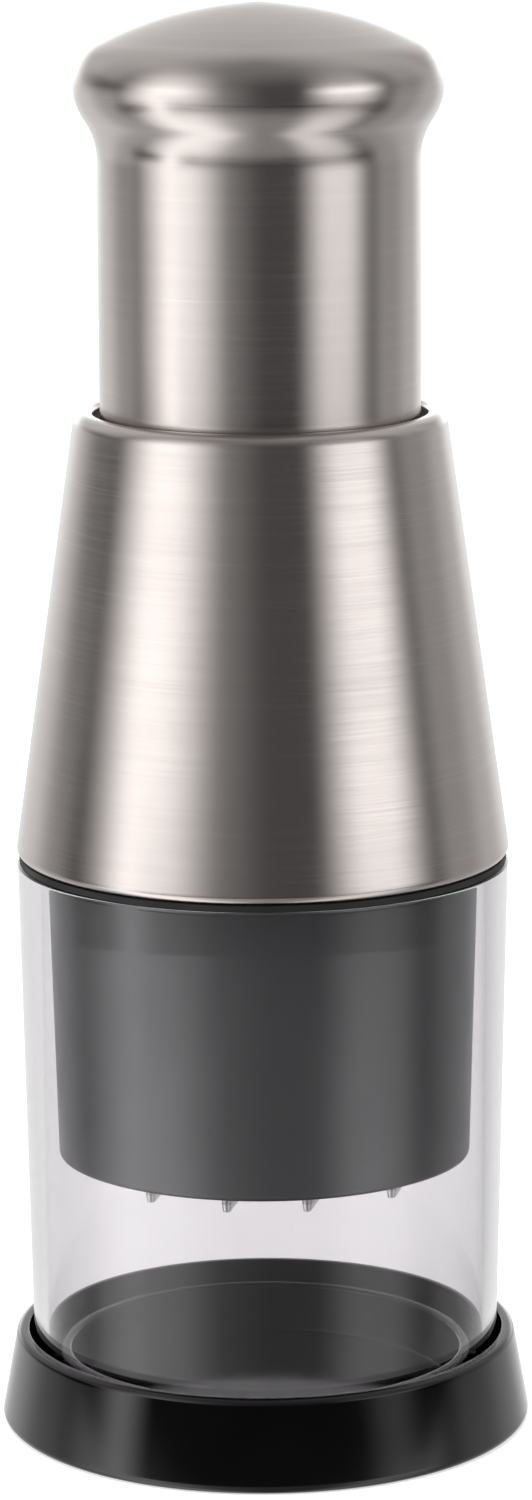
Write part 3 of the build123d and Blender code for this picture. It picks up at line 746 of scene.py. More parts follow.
def turned(name: str, profile: list[Point], segments: int = 256) -> Piece:
    """Turn a closed profile round the Z axis.

    The UV map "turned" runs once round the axis in U and holds the length along the profile, in metres,
    in V.

    Args:
        name: the piece's name.
        profile: radius and height of each point in millimetres, all in one closed loop.
        segments: facets round the axis.

    Returns:
        The turned piece.
    """
    profile = supported(profile)
    form = bmesh.new()
    uv = form.loops.layers.uv.new("turned")
    rings = []
    for radius, height in profile:
        if radius < ON_AXIS:
            rings.append([form.verts.new((0, 0, height * MM))] * segments)
            continue
        reach = radius * MM
        places = [(reach * math.cos(a), reach * math.sin(a), height * MM) for a in whole_turn(segments)]
        rings.append([form.verts.new(place) for place in places])
    along = 0.0
    for index, ring in enumerate(rings):
        next_index = (index + 1) % len(rings)
        next_ring = rings[next_index]
        length = math.dist(profile[index], profile[next_index]) * MM
        on_axis = profile[index][0] < ON_AXIS and profile[next_index][0] < ON_AXIS
        for a in range(0 if on_axis else segments):
            b = (a + 1) % segments
            corners = [(ring[a], a, along), (ring[b], a + 1, along)]
            corners += [(next_ring[b], a + 1, along + length), (next_ring[a], a, along + length)]
            # A vertex on the axis stands for the whole ring there, and goes into a face once.
            kept: list[tuple[Any, int, float]] = []
            for corner in corners:
                if corner[0] not in [other[0] for other in kept]:
                    kept.append(corner)
            face = form.faces.new([corner[0] for corner in kept])
            for loop, corner in zip(face.loops, kept):
                loop[uv].uv = (corner[1] / segments, corner[2])
        along += length
    bmesh.ops.recalc_face_normals(form, faces=form.faces)
    return link_piece(name, kept_mesh(form, name))


def refined(node: str, name: str) -> Piece:
    """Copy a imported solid, join its loose triangles and shade it smooth.

    Args:
        node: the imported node's name.
        name: the new piece's name.

    Returns:
        The copy, which is free to be dressed in the node's place.
    """
    form = bmesh.new()
    form.from_mesh(bpy.data.objects[node].data)
    bmesh.ops.remove_doubles(form, verts=form.verts, dist=PACKED_WELD * MM)
    return link_piece(name, kept_mesh(form, name), PACKED_SHARP)


# ---- Geometry Nodes --------------------------------------------------------------------------------


def open_tree(name: str, inputs: dict[str, str]) -> tuple[Tree, Node]:
    """Start a Geometry Nodes tree with named inputs.

    Args:
        name: the tree's name.
        inputs: kind of socket by name, such as {"Radius": "Float"}.

    Returns:
        The tree and its Group Input node.
    """
    tree = bpy.data.node_groups.new(name, "GeometryNodeTree")
    tree.interface.new_socket("Geometry", in_out="INPUT", socket_type="NodeSocketGeometry")
    for title, kind in inputs.items():
        tree.interface.new_socket(title, in_out="INPUT", socket_type=f"NodeSocket{kind}")
    tree.interface.new_socket("Material", in_out="INPUT", socket_type="NodeSocketMaterial")
    tree.interface.new_socket("Geometry", in_out="OUTPUT", socket_type="NodeSocketGeometry")
    return tree, tree.nodes.new("NodeGroupInput")


def close_tree(tree: Tree, entry: Node, geometry: Link) -> None:
    """End a Geometry Nodes tree: real meshes, with their material.

    Args:
        tree: the tree.
        entry: its Group Input node.
        geometry: the geometry to give out.
    """
    real = add_node(tree, "GeometryNodeRealizeInstances", Geometry=geometry)
    material = entry.outputs["Material"]
    dressed = add_node(tree, "GeometryNodeSetMaterial", Geometry=real, Material=material)
    add_node(tree, "NodeGroupOutput", Geometry=dressed)


def grown(name: str, tree: Tree, sizes: dict[str, Any], start: Mesh | None = None) -> Piece:
    """Run a Geometry Nodes tree and keep its result as a plain closed mesh.

    Args:
        name: the piece's name.
        tree: the tree to run.
        sizes: value of each named input.
        start: mesh that the tree starts from, where it needs one.

    Returns:
        The finished piece.
    """
    host = link_object(f"{name}_host", start or bpy.data.meshes.new(f"{name}_start"))
    modifier = host.modifiers.new("grow", "NODES")
    modifier.node_group = tree
    for item in tree.interface.items_tree:
        if item.in_out == "INPUT" and item.name in sizes:
            modifier[item.identifier] = sizes[item.name]
    graph = bpy.context.evaluated_depsgraph_get()
    mesh = bpy.data.meshes.new_from_object(host.evaluated_get(graph))
    bpy.data.objects.remove(host)
    form = bmesh.new()
    form.from_mesh(mesh)
    bmesh.ops.remove_doubles(form, verts=form.verts, dist=GROWN_WELD * MM)
    bmesh.ops.recalc_face_normals(form, faces=form.faces)
    form.to_mesh(mesh)
    form.free()
    return link_piece(name, mesh)


def coil_tree() -> Tree:
    """Round wire wound on a cylinder.

    Returns:
        The tree, with inputs in metres, and Turns.
    """
    titles = ("Turns", "Radius", "Rise", "Wire", "Bottom")
    tree, entry = open_tree("wound_wire", dict.fromkeys(titles, "Float"))
    get = entry.outputs
    helix = add_node(
        tree,
        "GeometryNodeCurveSpiral",
        Resolution=COIL_STEPS,
        Rotations=get["Turns"],
        Start_Radius=get["Radius"],
        End_Radius=get["Radius"],
        Height=get["Rise"],
    )
    half_wire = add_node(tree, "ShaderNodeMath", {"operation": "DIVIDE"}, i0=get["Wire"], i1=2.0)
    section = add_node(tree, "GeometryNodeCurvePrimitiveCircle", Resolution=WIRE_SIDES, Radius=half_wire)
    wire = add_node(tree, "GeometryNodeCurveToMesh", Curve=helix, Profile_Curve=section, Fill_Caps=True)
    place = add_node(tree, "ShaderNodeCombineXYZ", Z=get["Bottom"])
    placed = add_node(tree, "GeometryNodeTransform", Geometry=wire, Translation=place)
    close_tree(tree, entry, placed)
    return tree


def strip_tree() -> Tree:
    """Sheet strip stood on edge along the start mesh, ground to a bevel at its lower edge.

    Returns:
        The tree, with inputs in metres.
    """
    titles = ("Thickness", "Land", "Bevel", "Height", "Bottom")
    tree, entry = open_tree("folded_strip", dict.fromkeys(titles, "Float"))
    get = entry.outputs
    half, minus_half, land, minus_land = (
        add_node(tree, "ShaderNodeMath", {"operation": "MULTIPLY"}, i0=get[title], i1=share)
        for title in ("Thickness", "Land")
        for share in (0.5, -0.5)
    )
    section_corners = [
        (minus_land, 0.0),
        (land, 0.0),
        (half, get["Bevel"]),
        (half, get["Height"]),
        (minus_half, get["Height"]),
        (minus_half, get["Bevel"]),
    ]
    corners = [
        add_node(tree, "ShaderNodeCombineXYZ", X=across, Y=up) for across, up in section_corners
    ]
    pick = add_node(tree, "GeometryNodeIndexSwitch", {"data_type": "VECTOR"})
    while len(pick.index_switch_items) < len(corners):
        pick.index_switch_items.new()
    for slot, source in enumerate([add_node(tree, "GeometryNodeInputIndex"), *corners]):
        tree.links.new(source.outputs[0], pick.inputs[slot])
    circle = add_node(tree, "GeometryNodeCurvePrimitiveCircle", Resolution=len(corners))
    section = add_node(tree, "GeometryNodeSetPosition", Geometry=circle, Position=pick)
    path = add_node(tree, "GeometryNodeMeshToCurve", Mesh=get["Geometry"])
    upright = add_node(tree, "GeometryNodeSetCurveNormal", {"mode": "Z_UP"}, Curve=path)
    strip = add_node(
        tree, "GeometryNodeCurveToMesh", Curve=upright, Profile_Curve=section, Fill_Caps=True
    )
    place = add_node(tree, "ShaderNodeCombineXYZ", Z=get["Bottom"])
    placed = add_node(tree, "GeometryNodeTransform", Geometry=strip, Translation=place, Scale=(1, 1, -1))
    close_tree(tree, entry, placed)
    return tree


def scatter_tree() -> Tree:
    """One piece repeated at each point of the start mesh, turned to face away from the axis.

    Returns:
        The tree.
    """
    tree, entry = open_tree("repeated_piece", {"Piece": "Object"})
    get = entry.outputs
    source = add_node(tree, "GeometryNodeObjectInfo", Object=get["Piece"]).outputs["Geometry"]
    place = add_node(tree, "GeometryNodeInputPosition")
    split = add_node(tree, "ShaderNodeSeparateXYZ", Vector=place)
    angle = add_node(
        tree, "ShaderNodeMath", {"operation": "ARCTAN2"}, i0=split.outputs[1], i1=split.outputs[0]
    )
    facing = add_node(tree, "ShaderNodeCombineXYZ", Z=angle)
    copies = add_node(
        tree, "GeometryNodeInstanceOnPoints", Points=get["Geometry"], Instance=source, Rotation=facing
    )
    close_tree(tree, entry, copies)
    return tree


def points_mesh(name: str, places: list[Place], joined: bool = False) -> Mesh:
    """Mesh of points in millimetres, joined in a line or left loose.

    Args:
        name: the mesh's name.
        places: the points in millimetres.
        joined: whether edges join them in order.

    Returns:
        The mesh in metres.
    """
    mesh = bpy.data.meshes.new(name)
    edges = [(index, index + 1) for index in range(len(places) - 1)] if joined else []
    mesh.from_pydata([(x * MM, y * MM, z * MM) for x, y, z in places], edges, [])
    return mesh


# ---- Sub-assemblies --------------------------------------------------------------------------------


@dataclass(frozen=True)
class Screw:
    """Machine screw with a rounded cheese head and a hexagon socket, in millimetres.

    The socket's size is measured from the axis to the middle of a flat.
    """

    head_radius: float
    head_height: float
    radius: float
    pitch: float
    socket: float
    segments: int = 48
    steps_per_turn: int = 8  # of the thread, along the screw
    groove_slope: float = 0.55
    deepest_groove: float = 0.3  # of the radius
    point_length: float = 0.35  # of the radius
    head_rounding: float = 0.35  # of the head's height
    rounding_step: float = 15.0  # degrees between its points
    socket_floor: float = 0.3  # of the head's height
    socket_bevel: float = 0.05

    def socket_radius(self, turn: float) -> float:
        """Distance from the axis to the socket's wall, for a turn in radians."""
        half_side = math.pi / 6
        return self.socket / math.cos((turn + half_side) % (2 * half_side) - half_side)

    def thread_radius(self, turn: float, depth: float, reach: float) -> float:
        """Distance from the axis to the thread.

        Args:
            turn: angle round the axis in radians.
            depth: how far below the head the place lies.
            reach: the screw's length below the head.

        Returns:
            The radius there.
        """
        phase = (depth / self.pitch + turn / (2 * math.pi)) % 1.0
        groove = self.groove_slope * self.pitch * (1 - abs(2 * phase - 1))
        groove = min(groove, self.deepest_groove * self.radius) if depth > self.pitch else 0.0
        point = max(0.0, self.radius * self.point_length - (reach - depth))
        return self.radius - max(point, groove)

    def rings(self, reach: float) -> list[list[Point]]:
        """Radius and height round each ring of the screw's skin.

        Args:
            reach: its length below the head.

        Returns:
            The rings from the screw's end to the bottom of its socket.
        """
        turns = whole_turn(self.segments)
        steps = math.ceil(reach / self.pitch * self.steps_per_turn)
        depths = [reach * (1 - step / steps) for step in range(steps)]
        rings = [[(self.thread_radius(turn, depth, reach), -depth) for turn in turns] for depth in depths]
        edge = self.head_height * self.head_rounding
        head = [(self.radius, 0.0), (self.head_radius, 0.0)]
        rounding_centre = (self.head_radius - edge, self.head_height - edge)
        head += arc(rounding_centre, edge, 0, 90, self.rounding_step)
        rings += [[place] * self.segments for place in head]
        socket = (
            (self.socket_bevel, self.head_height),
            (0.0, self.head_height - self.socket_bevel),
            (0.0, self.head_height * self.socket_floor),
        )
        for wider, height in socket:
            rings.append([(self.socket_radius(turn) + wider, height) for turn in turns])
        return rings

    def set_at(self, name: str, places: list[Place], reach: float, upright: bool = True) -> Piece:
        """Make the screw and set a copy at each place.

        Args:
            name: the name of the piece with all the copies.
            places: where the underside of each head sits, in millimetres.
            reach: length below the head.
            upright: whether the head is on top.

        Returns:
            All the copies as one piece.
        """
        form = bmesh.new()
        upwards = MM if upright else -MM
        skin = []
        for ring in self.rings(reach):
            spots = [
                (r * MM * math.cos(a), r * MM * math.sin(a), z * upwards)
                for (r, z), a in zip(ring, whole_turn(self.segments))
            ]
            skin.append([form.verts.new(spot) for spot in spots])
        for low, high in zip(skin, skin[1:]):
            for a in range(self.segments):
                b = (a + 1) % self.segments
                form.faces.new((low[a], low[b], high[b], high[a]))
        form.faces.new(skin[0])
        form.faces.new(skin[-1])
        bmesh.ops.recalc_face_normals(form, faces=form.faces)
        single = bpy.data.objects.new("one_screw", kept_mesh(form, "one_screw"))
        sizes = {"Piece": single, "Material": Stock.FASTENER_STEEL.material()}
        copies = grown(name, scatter_tree(), sizes, points_mesh(f"{name}_places", places))
        bpy.data.objects.remove(single)
        return copies


@dataclass(frozen=True)
class Extent:
    """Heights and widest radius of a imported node, in millimetres."""

    bottom: float
    top: float
    radius: float

    @classmethod
    def of(cls, node: str) -> "Extent":
        """Measure a node.

        Args:
            node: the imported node's name.

        Returns:
            Its extent.
        """
        low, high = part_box(node)
        return cls(low.z / MM, high.z / MM, high.x / MM)


@dataclass
class SubAssembly:
    """Pieces that ride on one body of the frame and are dressed together."""

    body: str = ""

    def dress(self, piece: Piece, stock: Stock, *nodes: str) -> None:
        """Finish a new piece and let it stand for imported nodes.

        Args:
            piece: the new piece.
            stock: its finish.
            nodes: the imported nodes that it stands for.
        """
        piece.data.materials.clear()
        piece.data.materials.append(stock.material())
        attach(piece, self.body)
        if nodes:
            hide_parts(*nodes)
        LOG.info("%s: %d faces, %s", piece.name, len(piece.data.polygons), stock.finish.title)

    def paint(self, stock: Stock, *nodes: str) -> None:
        """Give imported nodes, which stay as they are, a finish.

        Args:
            stock: the finish.
            nodes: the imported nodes' names.
        """
        for node in nodes:
            for slot in bpy.data.objects[node].material_slots:
                slot.material = stock.material()
            LOG.info("%s: packed solid, %s", node, stock.finish.title)


@dataclass
class PlungerHandle(SubAssembly):
    """Domed steel handle on its moulded core, with the rod and what is fixed to it."""

    body: str = "plunger"
    radius: float = 25.13
    sheet: float = 0.8
    hem_width: float = 1.6
    knob_overhang: float = 3.68
    widest_below_top: float = 12.2
    dome_radius: float = 55.0
    dome_step: float = 1.5  # degrees between its points, close because its radius is large
    cove_radius: float = 10.4
    bulge_radius: float = 10.4

    def skin_curve(self, top: float, bottom: float, inset: float) -> list[Point]:
        """Half section of the skin from its lower end to the middle of the dome.

        Args:
            top: height of the dome's middle.
            bottom: height of the lower end.
            inset: how far the curve lies inside the outer face.

        Returns:
            Points of the curve.
        """
        knob = self.radius + self.knob_overhang
        widest = top - self.widest_below_top
        bends = self.cove_radius + self.bulge_radius
        swing = math.degrees(math.acos(1 - self.knob_overhang / bends))
        cove_bottom = widest - bends * math.sin(math.radians(swing))
        rise = self.dome_radius - self.widest_below_top
        shoulder = (self.dome_radius**2 - knob**2 - rise**2) / (2 * (self.dome_radius - knob))
        dome_swing = math.degrees(math.asin((knob - shoulder) / (self.dome_radius - shoulder)))
        cove_centre = (self.radius + self.cove_radius, cove_bottom)
        points = [(self.radius - inset, bottom)]
        points += arc(cove_centre, self.cove_radius + inset, 180, 180 - swing)
        points += arc((knob - self.bulge_radius, widest), self.bulge_radius - inset, -swing, 0)[1:]
        points += arc((knob - shoulder, widest), shoulder - inset, 0, 90 - dome_swing)[1:]
        dome_centre = (0, top - self.dome_radius)
        dome_reach = self.dome_radius - inset
        points += arc(dome_centre, dome_reach, 90 - dome_swing, 90, self.dome_step)[1:]
        points[-1] = (0.0, points[-1][1])
        return points

    def build(self) -> None:
        """Build the spun skin and dress the core and the rod."""
        extent = Extent.of("handle_shell")
        hem_top = extent.bottom + self.sheet
        hem_inner = self.radius - self.sheet - self.hem_width
        outer = self.skin_curve(extent.top, extent.bottom, 0)
        inner = self.skin_curve(extent.top, hem_top, self.sheet)
        hem = [(hem_inner, hem_top), (hem_inner, extent.bottom)]
        skin = turned("handle_skin", outer + inner[::-1] + hem)
        self.dress(skin, Stock.HANDLE_STEEL, "handle_shell")
        self.paint(Stock.LINER_ABS, "handle_core")
        self.paint(Stock.GUIDE_ACETAL, "pusher_crown")
        self.paint(
            Stock.FASTENER_STEEL, "shaft", "shaft_nut", "shaft_washer", "pusher_pin", "thrust_washer"
        )
        self.paint(Stock.SPRING_STEEL, "retaining_clip")


@dataclass
class SteelHousing(SubAssembly):
    """Tapered steel shell with its black seam ring, its liner and what the liner carries."""

    body: str = "housing"
    bottom_radius: float = 39.2
    top_radius: float = 29.1
    opening_radius: float = 26.2
    sheet: float = 0.7
    foot_hem: float = 1.6
    foot_bend: float = 0.5
    shoulder_bend: float = 1.3
    lip_bend: float = 0.1
    lip_depth: float = 2.8
    seam_inner: float = 36.9
    seam_round: float = 0.15
    screw: Screw = Screw(head_radius=2.0, head_height=1.4, radius=1.1, pitch=0.6, socket=0.95)
    screw_circle: float = 17.7
    screw_count: int = 3

    def build(self) -> None:
        """Build the shell and the seam ring, dress the moulded liner and screw on the index ring."""
        extent = Extent.of("outer_shell")
        low, high, sheet = extent.bottom, extent.top, self.sheet
        lean = (self.bottom_radius - self.top_radius) / (high - low)
        hem_inner = self.bottom_radius - self.foot_hem
        inside_top = self.top_radius + lean * sheet - sheet
        inside_bottom = self.bottom_radius - lean * sheet - sheet
        profile = rounded(
            [
                (hem_inner, low),
                (self.bottom_radius, low, self.foot_bend + sheet),
                (self.top_radius, high, self.shoulder_bend + sheet),
                (self.opening_radius, high, self.lip_bend + sheet),
                (self.opening_radius, high - self.lip_depth),
                (self.opening_radius + sheet, high - self.lip_depth),
                (self.opening_radius + sheet, high - sheet, self.lip_bend),
                (inside_top, high - sheet, self.shoulder_bend),
                (inside_bottom, low + sheet, self.foot_bend),
                (hem_inner, low + sheet),
            ]
        )
        self.dress(turned("housing_shell", profile), Stock.SHELL_STEEL, "outer_shell")
        seam = Extent.of("seam_gasket")
        ring = rounded(
            [
                (self.seam_inner, seam.bottom),
                (seam.radius, seam.bottom, self.seam_round),
                (seam.radius, seam.top, self.seam_round),
                (self.seam_inner, seam.top),
            ]
        )
        self.dress(turned("seam_ring", ring), Stock.SEAL_RUBBER, "seam_gasket")
        self.dress(refined("inner_housing", "housing_liner"), Stock.LINER_ABS, "inner_housing")
        self.paint(Stock.SEAL_RUBBER, "stop_bumper")
        self.paint(Stock.GUIDE_ACETAL, "guide_ring", "shaft_bush", "index_ring")
        self.paint(Stock.FASTENER_STEEL, "spring_seat_washer")
        held = Extent.of("index_ring_screws")
        seat = held.bottom + self.screw.head_height
        circle = self.screw_circle
        turns = whole_turn(self.screw_count)
        places = [(circle * math.cos(a), circle * math.sin(a), seat) for a in turns]
        screws = self.screw.set_at("ring_screws", places, held.top - seat, upright=False)
        self.dress(screws, Stock.FASTENER_STEEL, "index_ring_screws")


@dataclass
class ReturnSpring(SubAssembly):
    """Compression spring round the rod."""

    body: str = "housing"
    wire: float = 1.8
    turns: float = 10.0
    stroke: float = 37.0

    def build(self) -> None:
        """Wind the coil."""
        extent = Extent.of("return_spring")
        height = extent.top - extent.bottom
        sizes = {
            "Turns": self.turns,
            "Radius": (extent.radius - self.wire / 2) * MM,
            "Rise": (height - self.wire) * MM,
            "Wire": self.wire * MM,
            "Bottom": (extent.bottom + self.wire / 2) * MM,
            "Material": Stock.SPRING_STEEL.material(),
        }
        coil = grown("return_coil", coil_tree(), sizes)
        self.dress(coil, Stock.SPRING_STEEL, "return_spring")
        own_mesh(coil)


@dataclass
class GuardCup(SubAssembly):
    """Dark grey cup round the blade."""

    body: str = "housing"

    def build(self) -> None:
        """Dress the cup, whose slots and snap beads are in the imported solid."""
        self.dress(refined("guard_cup", "guard_cup_wall"), Stock.GUARD_PP, "guard_cup")


@dataclass
class Stripper(SubAssembly):
    """Slotted disc that wipes the blade."""

    body: str = "stripper"

    def build(self) -> None:
        """Dress the disc."""
        self.dress(refined("stripper_disc", "stripper_plate"), Stock.GUARD_PP, "stripper_disc")


@dataclass
class ClearContainer(SubAssembly):
    """Clear moulded cylinder, open at both ends."""

    body: str = "container"
    bottom_radius: float = 37.15
    flare: float = 1.8  # how much wider the shoulder is than the foot
    bottom_wall: float = 2.25
    bore_draft: float = 0.4
    neck_height: float = 5.0
    neck_wall: float = 1.3
    edge_round: float = 0.4
    seat_gap: float = 0.02

    def build(self) -> None:
        """Build the wall with its shoulder and neck."""
        extent = Extent.of("container")
        foot = extent.bottom + self.seat_gap
        shoulder = extent.top - self.neck_height
        bore_bottom = self.bottom_radius - self.bottom_wall
        bore_top = bore_bottom + self.bore_draft
        shoulder_radius = self.bottom_radius + self.flare
        profile = rounded(
            [
                (bore_bottom, foot, self.edge_round),
                (self.bottom_radius, foot, self.edge_round),
                (shoulder_radius, shoulder, self.edge_round),
                (bore_top + self.neck_wall, shoulder),
                (bore_top + self.neck_wall, extent.top, self.edge_round),
                (bore_top, extent.top, self.edge_round),
            ]
        )
        self.dress(turned("container_wall", profile), Stock.CONTAINER_SAN, "container")


@dataclass
class BaseCap(SubAssembly):
    """Polished black base, whose raised ring and ribs centre the container."""

    body: str = "base"
    lean: float = 2.68
    foot_round: float = 1.0
    rim_round: float = 1.1
    inner_rim_round: float = 0.275
    recess_depth: float = 1.4
    recess_round: float = 0.4
    floor_thickness: float = 2.6
    foot_ring_width: float = 8.0
    channel_radius: float = 37.45
    channel_round: float = 0.3
    channel_flare: float = 0.7
    rim_wall: float = 1.85
    ring_outer: float = 33.2
    ring_wall: float = 2.2
    ring_height: float = 8.4
    ring_round: float = 0.8
    rib_count: int = 8
    rib_width: float = 1.6
    rib_height: float = 6.0
    rib_outer: float = 34.6
    rib_round: float = 0.3
    rib_round_steps: int = 3

    def build(self) -> None:
        """Build the cap and the ribs in its channel."""
        top = Extent.of("base_cap").top
        floor = self.recess_depth + self.floor_thickness
        rim_inner = self.channel_radius + self.channel_flare
        rim_outer = rim_inner + self.rim_wall
        foot = rim_outer + self.lean
        ring_top = floor + self.ring_height
        ring_inner = self.ring_outer - self.ring_wall
        profile = rounded(
            [
                (0, self.recess_depth),
                (foot - self.foot_ring_width, self.recess_depth, self.recess_round),
                (foot - self.foot_ring_width, 0, self.recess_round),
                (foot, 0, self.foot_round),
                (rim_outer, top, self.rim_round),
                (rim_inner, top, self.inner_rim_round),
                (self.channel_radius, floor, self.channel_round),
                (self.ring_outer, floor, self.ring_round),
                (self.ring_outer, ring_top, self.ring_round),
                (ring_inner, ring_top, self.ring_round),
                (ring_inner, floor, self.ring_round),
                (0, floor),
            ]
        )
        self.dress(turned("base_body", profile), Stock.BASE_ABS, "base_cap")
        self.dress(self.ribs(floor), Stock.BASE_ABS)

    def ribs(self, floor: float) -> Piece:
        """Make the centring ribs.

        Args:
            floor: height of the base's floor.

        Returns:
            All ribs as one piece.
        """
        inner = self.ring_outer - self.ring_wall / 2
        form = bmesh.new()
        bmesh.ops.create_cube(form, size=1.0)
        size = (self.rib_outer - inner, self.rib_width, self.rib_height)
        for vert in form.verts:
            vert.co = Vector([part * along for part, along in zip(vert.co, size)]) * MM
        bmesh.ops.bevel(
            form,
            geom=form.edges,
            offset=self.rib_round * MM,
            segments=self.rib_round_steps,
            profile=0.5,  # a round one
            affect="EDGES",
        )
        rib = bpy.data.objects.new("one_rib", kept_mesh(form, "one_rib"))
        middle = (self.rib_outer + inner) / 2
        height = floor + self.rib_height / 2 - self.rib_round
        turns = whole_turn(self.rib_count)
        places = [(middle * math.cos(a), middle * math.sin(a), height) for a in turns]
        sizes = {"Piece": rib, "Material": Stock.BASE_ABS.material()}
        ribs = grown("centring_ribs", scatter_tree(), sizes, points_mesh("rib_places", places))
        bpy.data.objects.remove(rib)
        return ribs


@dataclass
class BladeCarriage(SubAssembly):
    """Folded blade in its plate, with the toothed hub and the screws."""

    body: str = "blade_carriage"
    circle_radius: float = 27.3
    half_width: float = 25.5
    strip_count: int = 9
    pitch: float = 6.12
    fold_radius: float = 0.5
    bend_steps: int = 14
    turn: float = -6.0  # degrees
    thickness: float = 0.5
    land: float = 0.1
    bevel: float = 1.2
    screw: Screw = Screw(head_radius=2.3, head_height=1.5, radius=1.25, pitch=0.7, socket=1.1)
    screw_circle: float = 20.2
    screw_spaces: tuple[tuple[float, int], ...] = ((-1.5, -1), (2.5, -1), (1.5, 1), (-2.5, 1))

    def fold_centre(self, index: int) -> Vector:
        """Centre of a fold's bend in plan, before the blade is turned.

        Args:
            index: the fold's number. Even folds lie in front and odd folds behind.

        Returns:
            The centre.
        """
        side = 1 if index % 2 else -1
        evenly = (index - self.strip_count / 2) * self.pitch
        across = max(-self.half_width, min(self.half_width, evenly))
        return Vector((across, side * (math.sqrt(self.circle_radius**2 - across**2) - self.fold_radius)))

    def path(self) -> list[Place]:
        """Centre line of the folded strip, with its bends as arcs.

        Returns:
            The line's points.
        """
        points: list[Vector] = []
        for index in range(self.strip_count):
            side = 1 if index % 2 else -1
            start, end = self.fold_centre(index), self.fold_centre(index + 1)
            along = end - start
            swing = side * math.acos(2 * self.fold_radius / along.length)
            heading = math.atan2(along.y, along.x) + swing
            normal = Vector((math.cos(heading), math.sin(heading))) * self.fold_radius
            if index:
                # The bend goes round the back of the fold, from the last strip's end to this one's start.
                first = points[-1] - start
                first_angle = math.atan2(first.y, first.x)
                sweep = (heading - first_angle) % (2 * math.pi)
                if index % 2:
                    sweep -= 2 * math.pi
                for step in range(1, self.bend_steps):
                    angle = first_angle + sweep * step / self.bend_steps
                    points.append(start + Vector((math.cos(angle), math.sin(angle))) * self.fold_radius)
            points += [start + normal, end - normal]
        return [(*self.spun(point), 0.0) for point in points]

    def spun(self, point: Vector) -> Point:
        """Turn a point in plan with the blade.

        Args:
            point: the point.

        Returns:
            The turned point.
        """
        spin = math.radians(self.turn)
        return (
            point.x * math.cos(spin) - point.y * math.sin(spin),
            point.x * math.sin(spin) + point.y * math.cos(spin),
        )

    def screw_places(self) -> list[Point]:
        """Plan places of the screws, in the open spaces between the folds."""
        across = [(folds * self.pitch, side) for folds, side in self.screw_spaces]
        return [(x, side * math.sqrt(self.screw_circle**2 - x**2)) for x, side in across]

    def build(self) -> None:
        """Fold the blade and dress the plate, the hub and the screws."""
        extent = Extent.of("zigzag_blade")
        sizes = {
            "Thickness": self.thickness * MM,
            "Land": self.land * MM,
            "Bevel": self.bevel * MM,
            "Height": (extent.top - extent.bottom) * MM,
            "Bottom": extent.bottom * MM,
            "Material": Stock.BLADE_STEEL.material(),
        }
        blade = grown("folded_blade", strip_tree(), sizes, points_mesh("blade_path", self.path(), True))
        self.dress(blade, Stock.BLADE_STEEL, "zigzag_blade")
        self.dress(refined("blade_plate", "blade_holder"), Stock.GUARD_PP, "blade_plate")
        self.paint(Stock.GUIDE_ACETAL, "index_hub")
        held = Extent.of("blade_plate_screws")
        seat = held.top - self.screw.head_height
        places = [(*self.spun(Vector(place)), seat) for place in self.screw_places()]
        screws = self.screw.set_at("plate_screws", places, seat - held.bottom)
        self.dress(screws, Stock.FASTENER_STEEL, "blade_plate_screws")


# ---- Studio ----------------------------------------------------------------------------------------


@dataclass(frozen=True)
class Panel:
    """Soft light panel, as polished faces mirror it. Angles are degrees, 0 towards the camera."""

    title: str
    direction: float
    half_width: float
    edge: float  # width over which its light fades out
    high: float  # brightness well above the level of the mirroring face
    level: float  # brightness at that level
    low: float  # brightness below it

    def add_to(self, tree: Tree, so_far: Link, degrees: Link, is_up: Link, is_high: Link) -> Link:
        """Add the panel's light to what is mirrored.

        Args:
            tree: the world's node tree.
            so_far: brightness so far.
            degrees: direction round the object.
            is_up: 0 below the level and 1 from there up.
            is_high: 1 well above the level.

        Returns:
            The new brightness.
        """
        edge = self.half_width + self.edge
        share = beside(tree, degrees, self.direction, edge, self.half_width)
        share.label = self.title
        lower = add_node(
            tree, "ShaderNodeMix", {"data_type": "FLOAT"}, Factor=is_up, i2=self.low, i3=self.level
        )
        bright = add_node(
            tree, "ShaderNodeMix", {"data_type": "FLOAT"}, Factor=is_high, i2=lower, i3=self.high
        )
        return add_node(
            tree, "ShaderNodeMath", {"operation": "MULTIPLY_ADD"}, i0=share, i1=bright, i2=so_far
        )


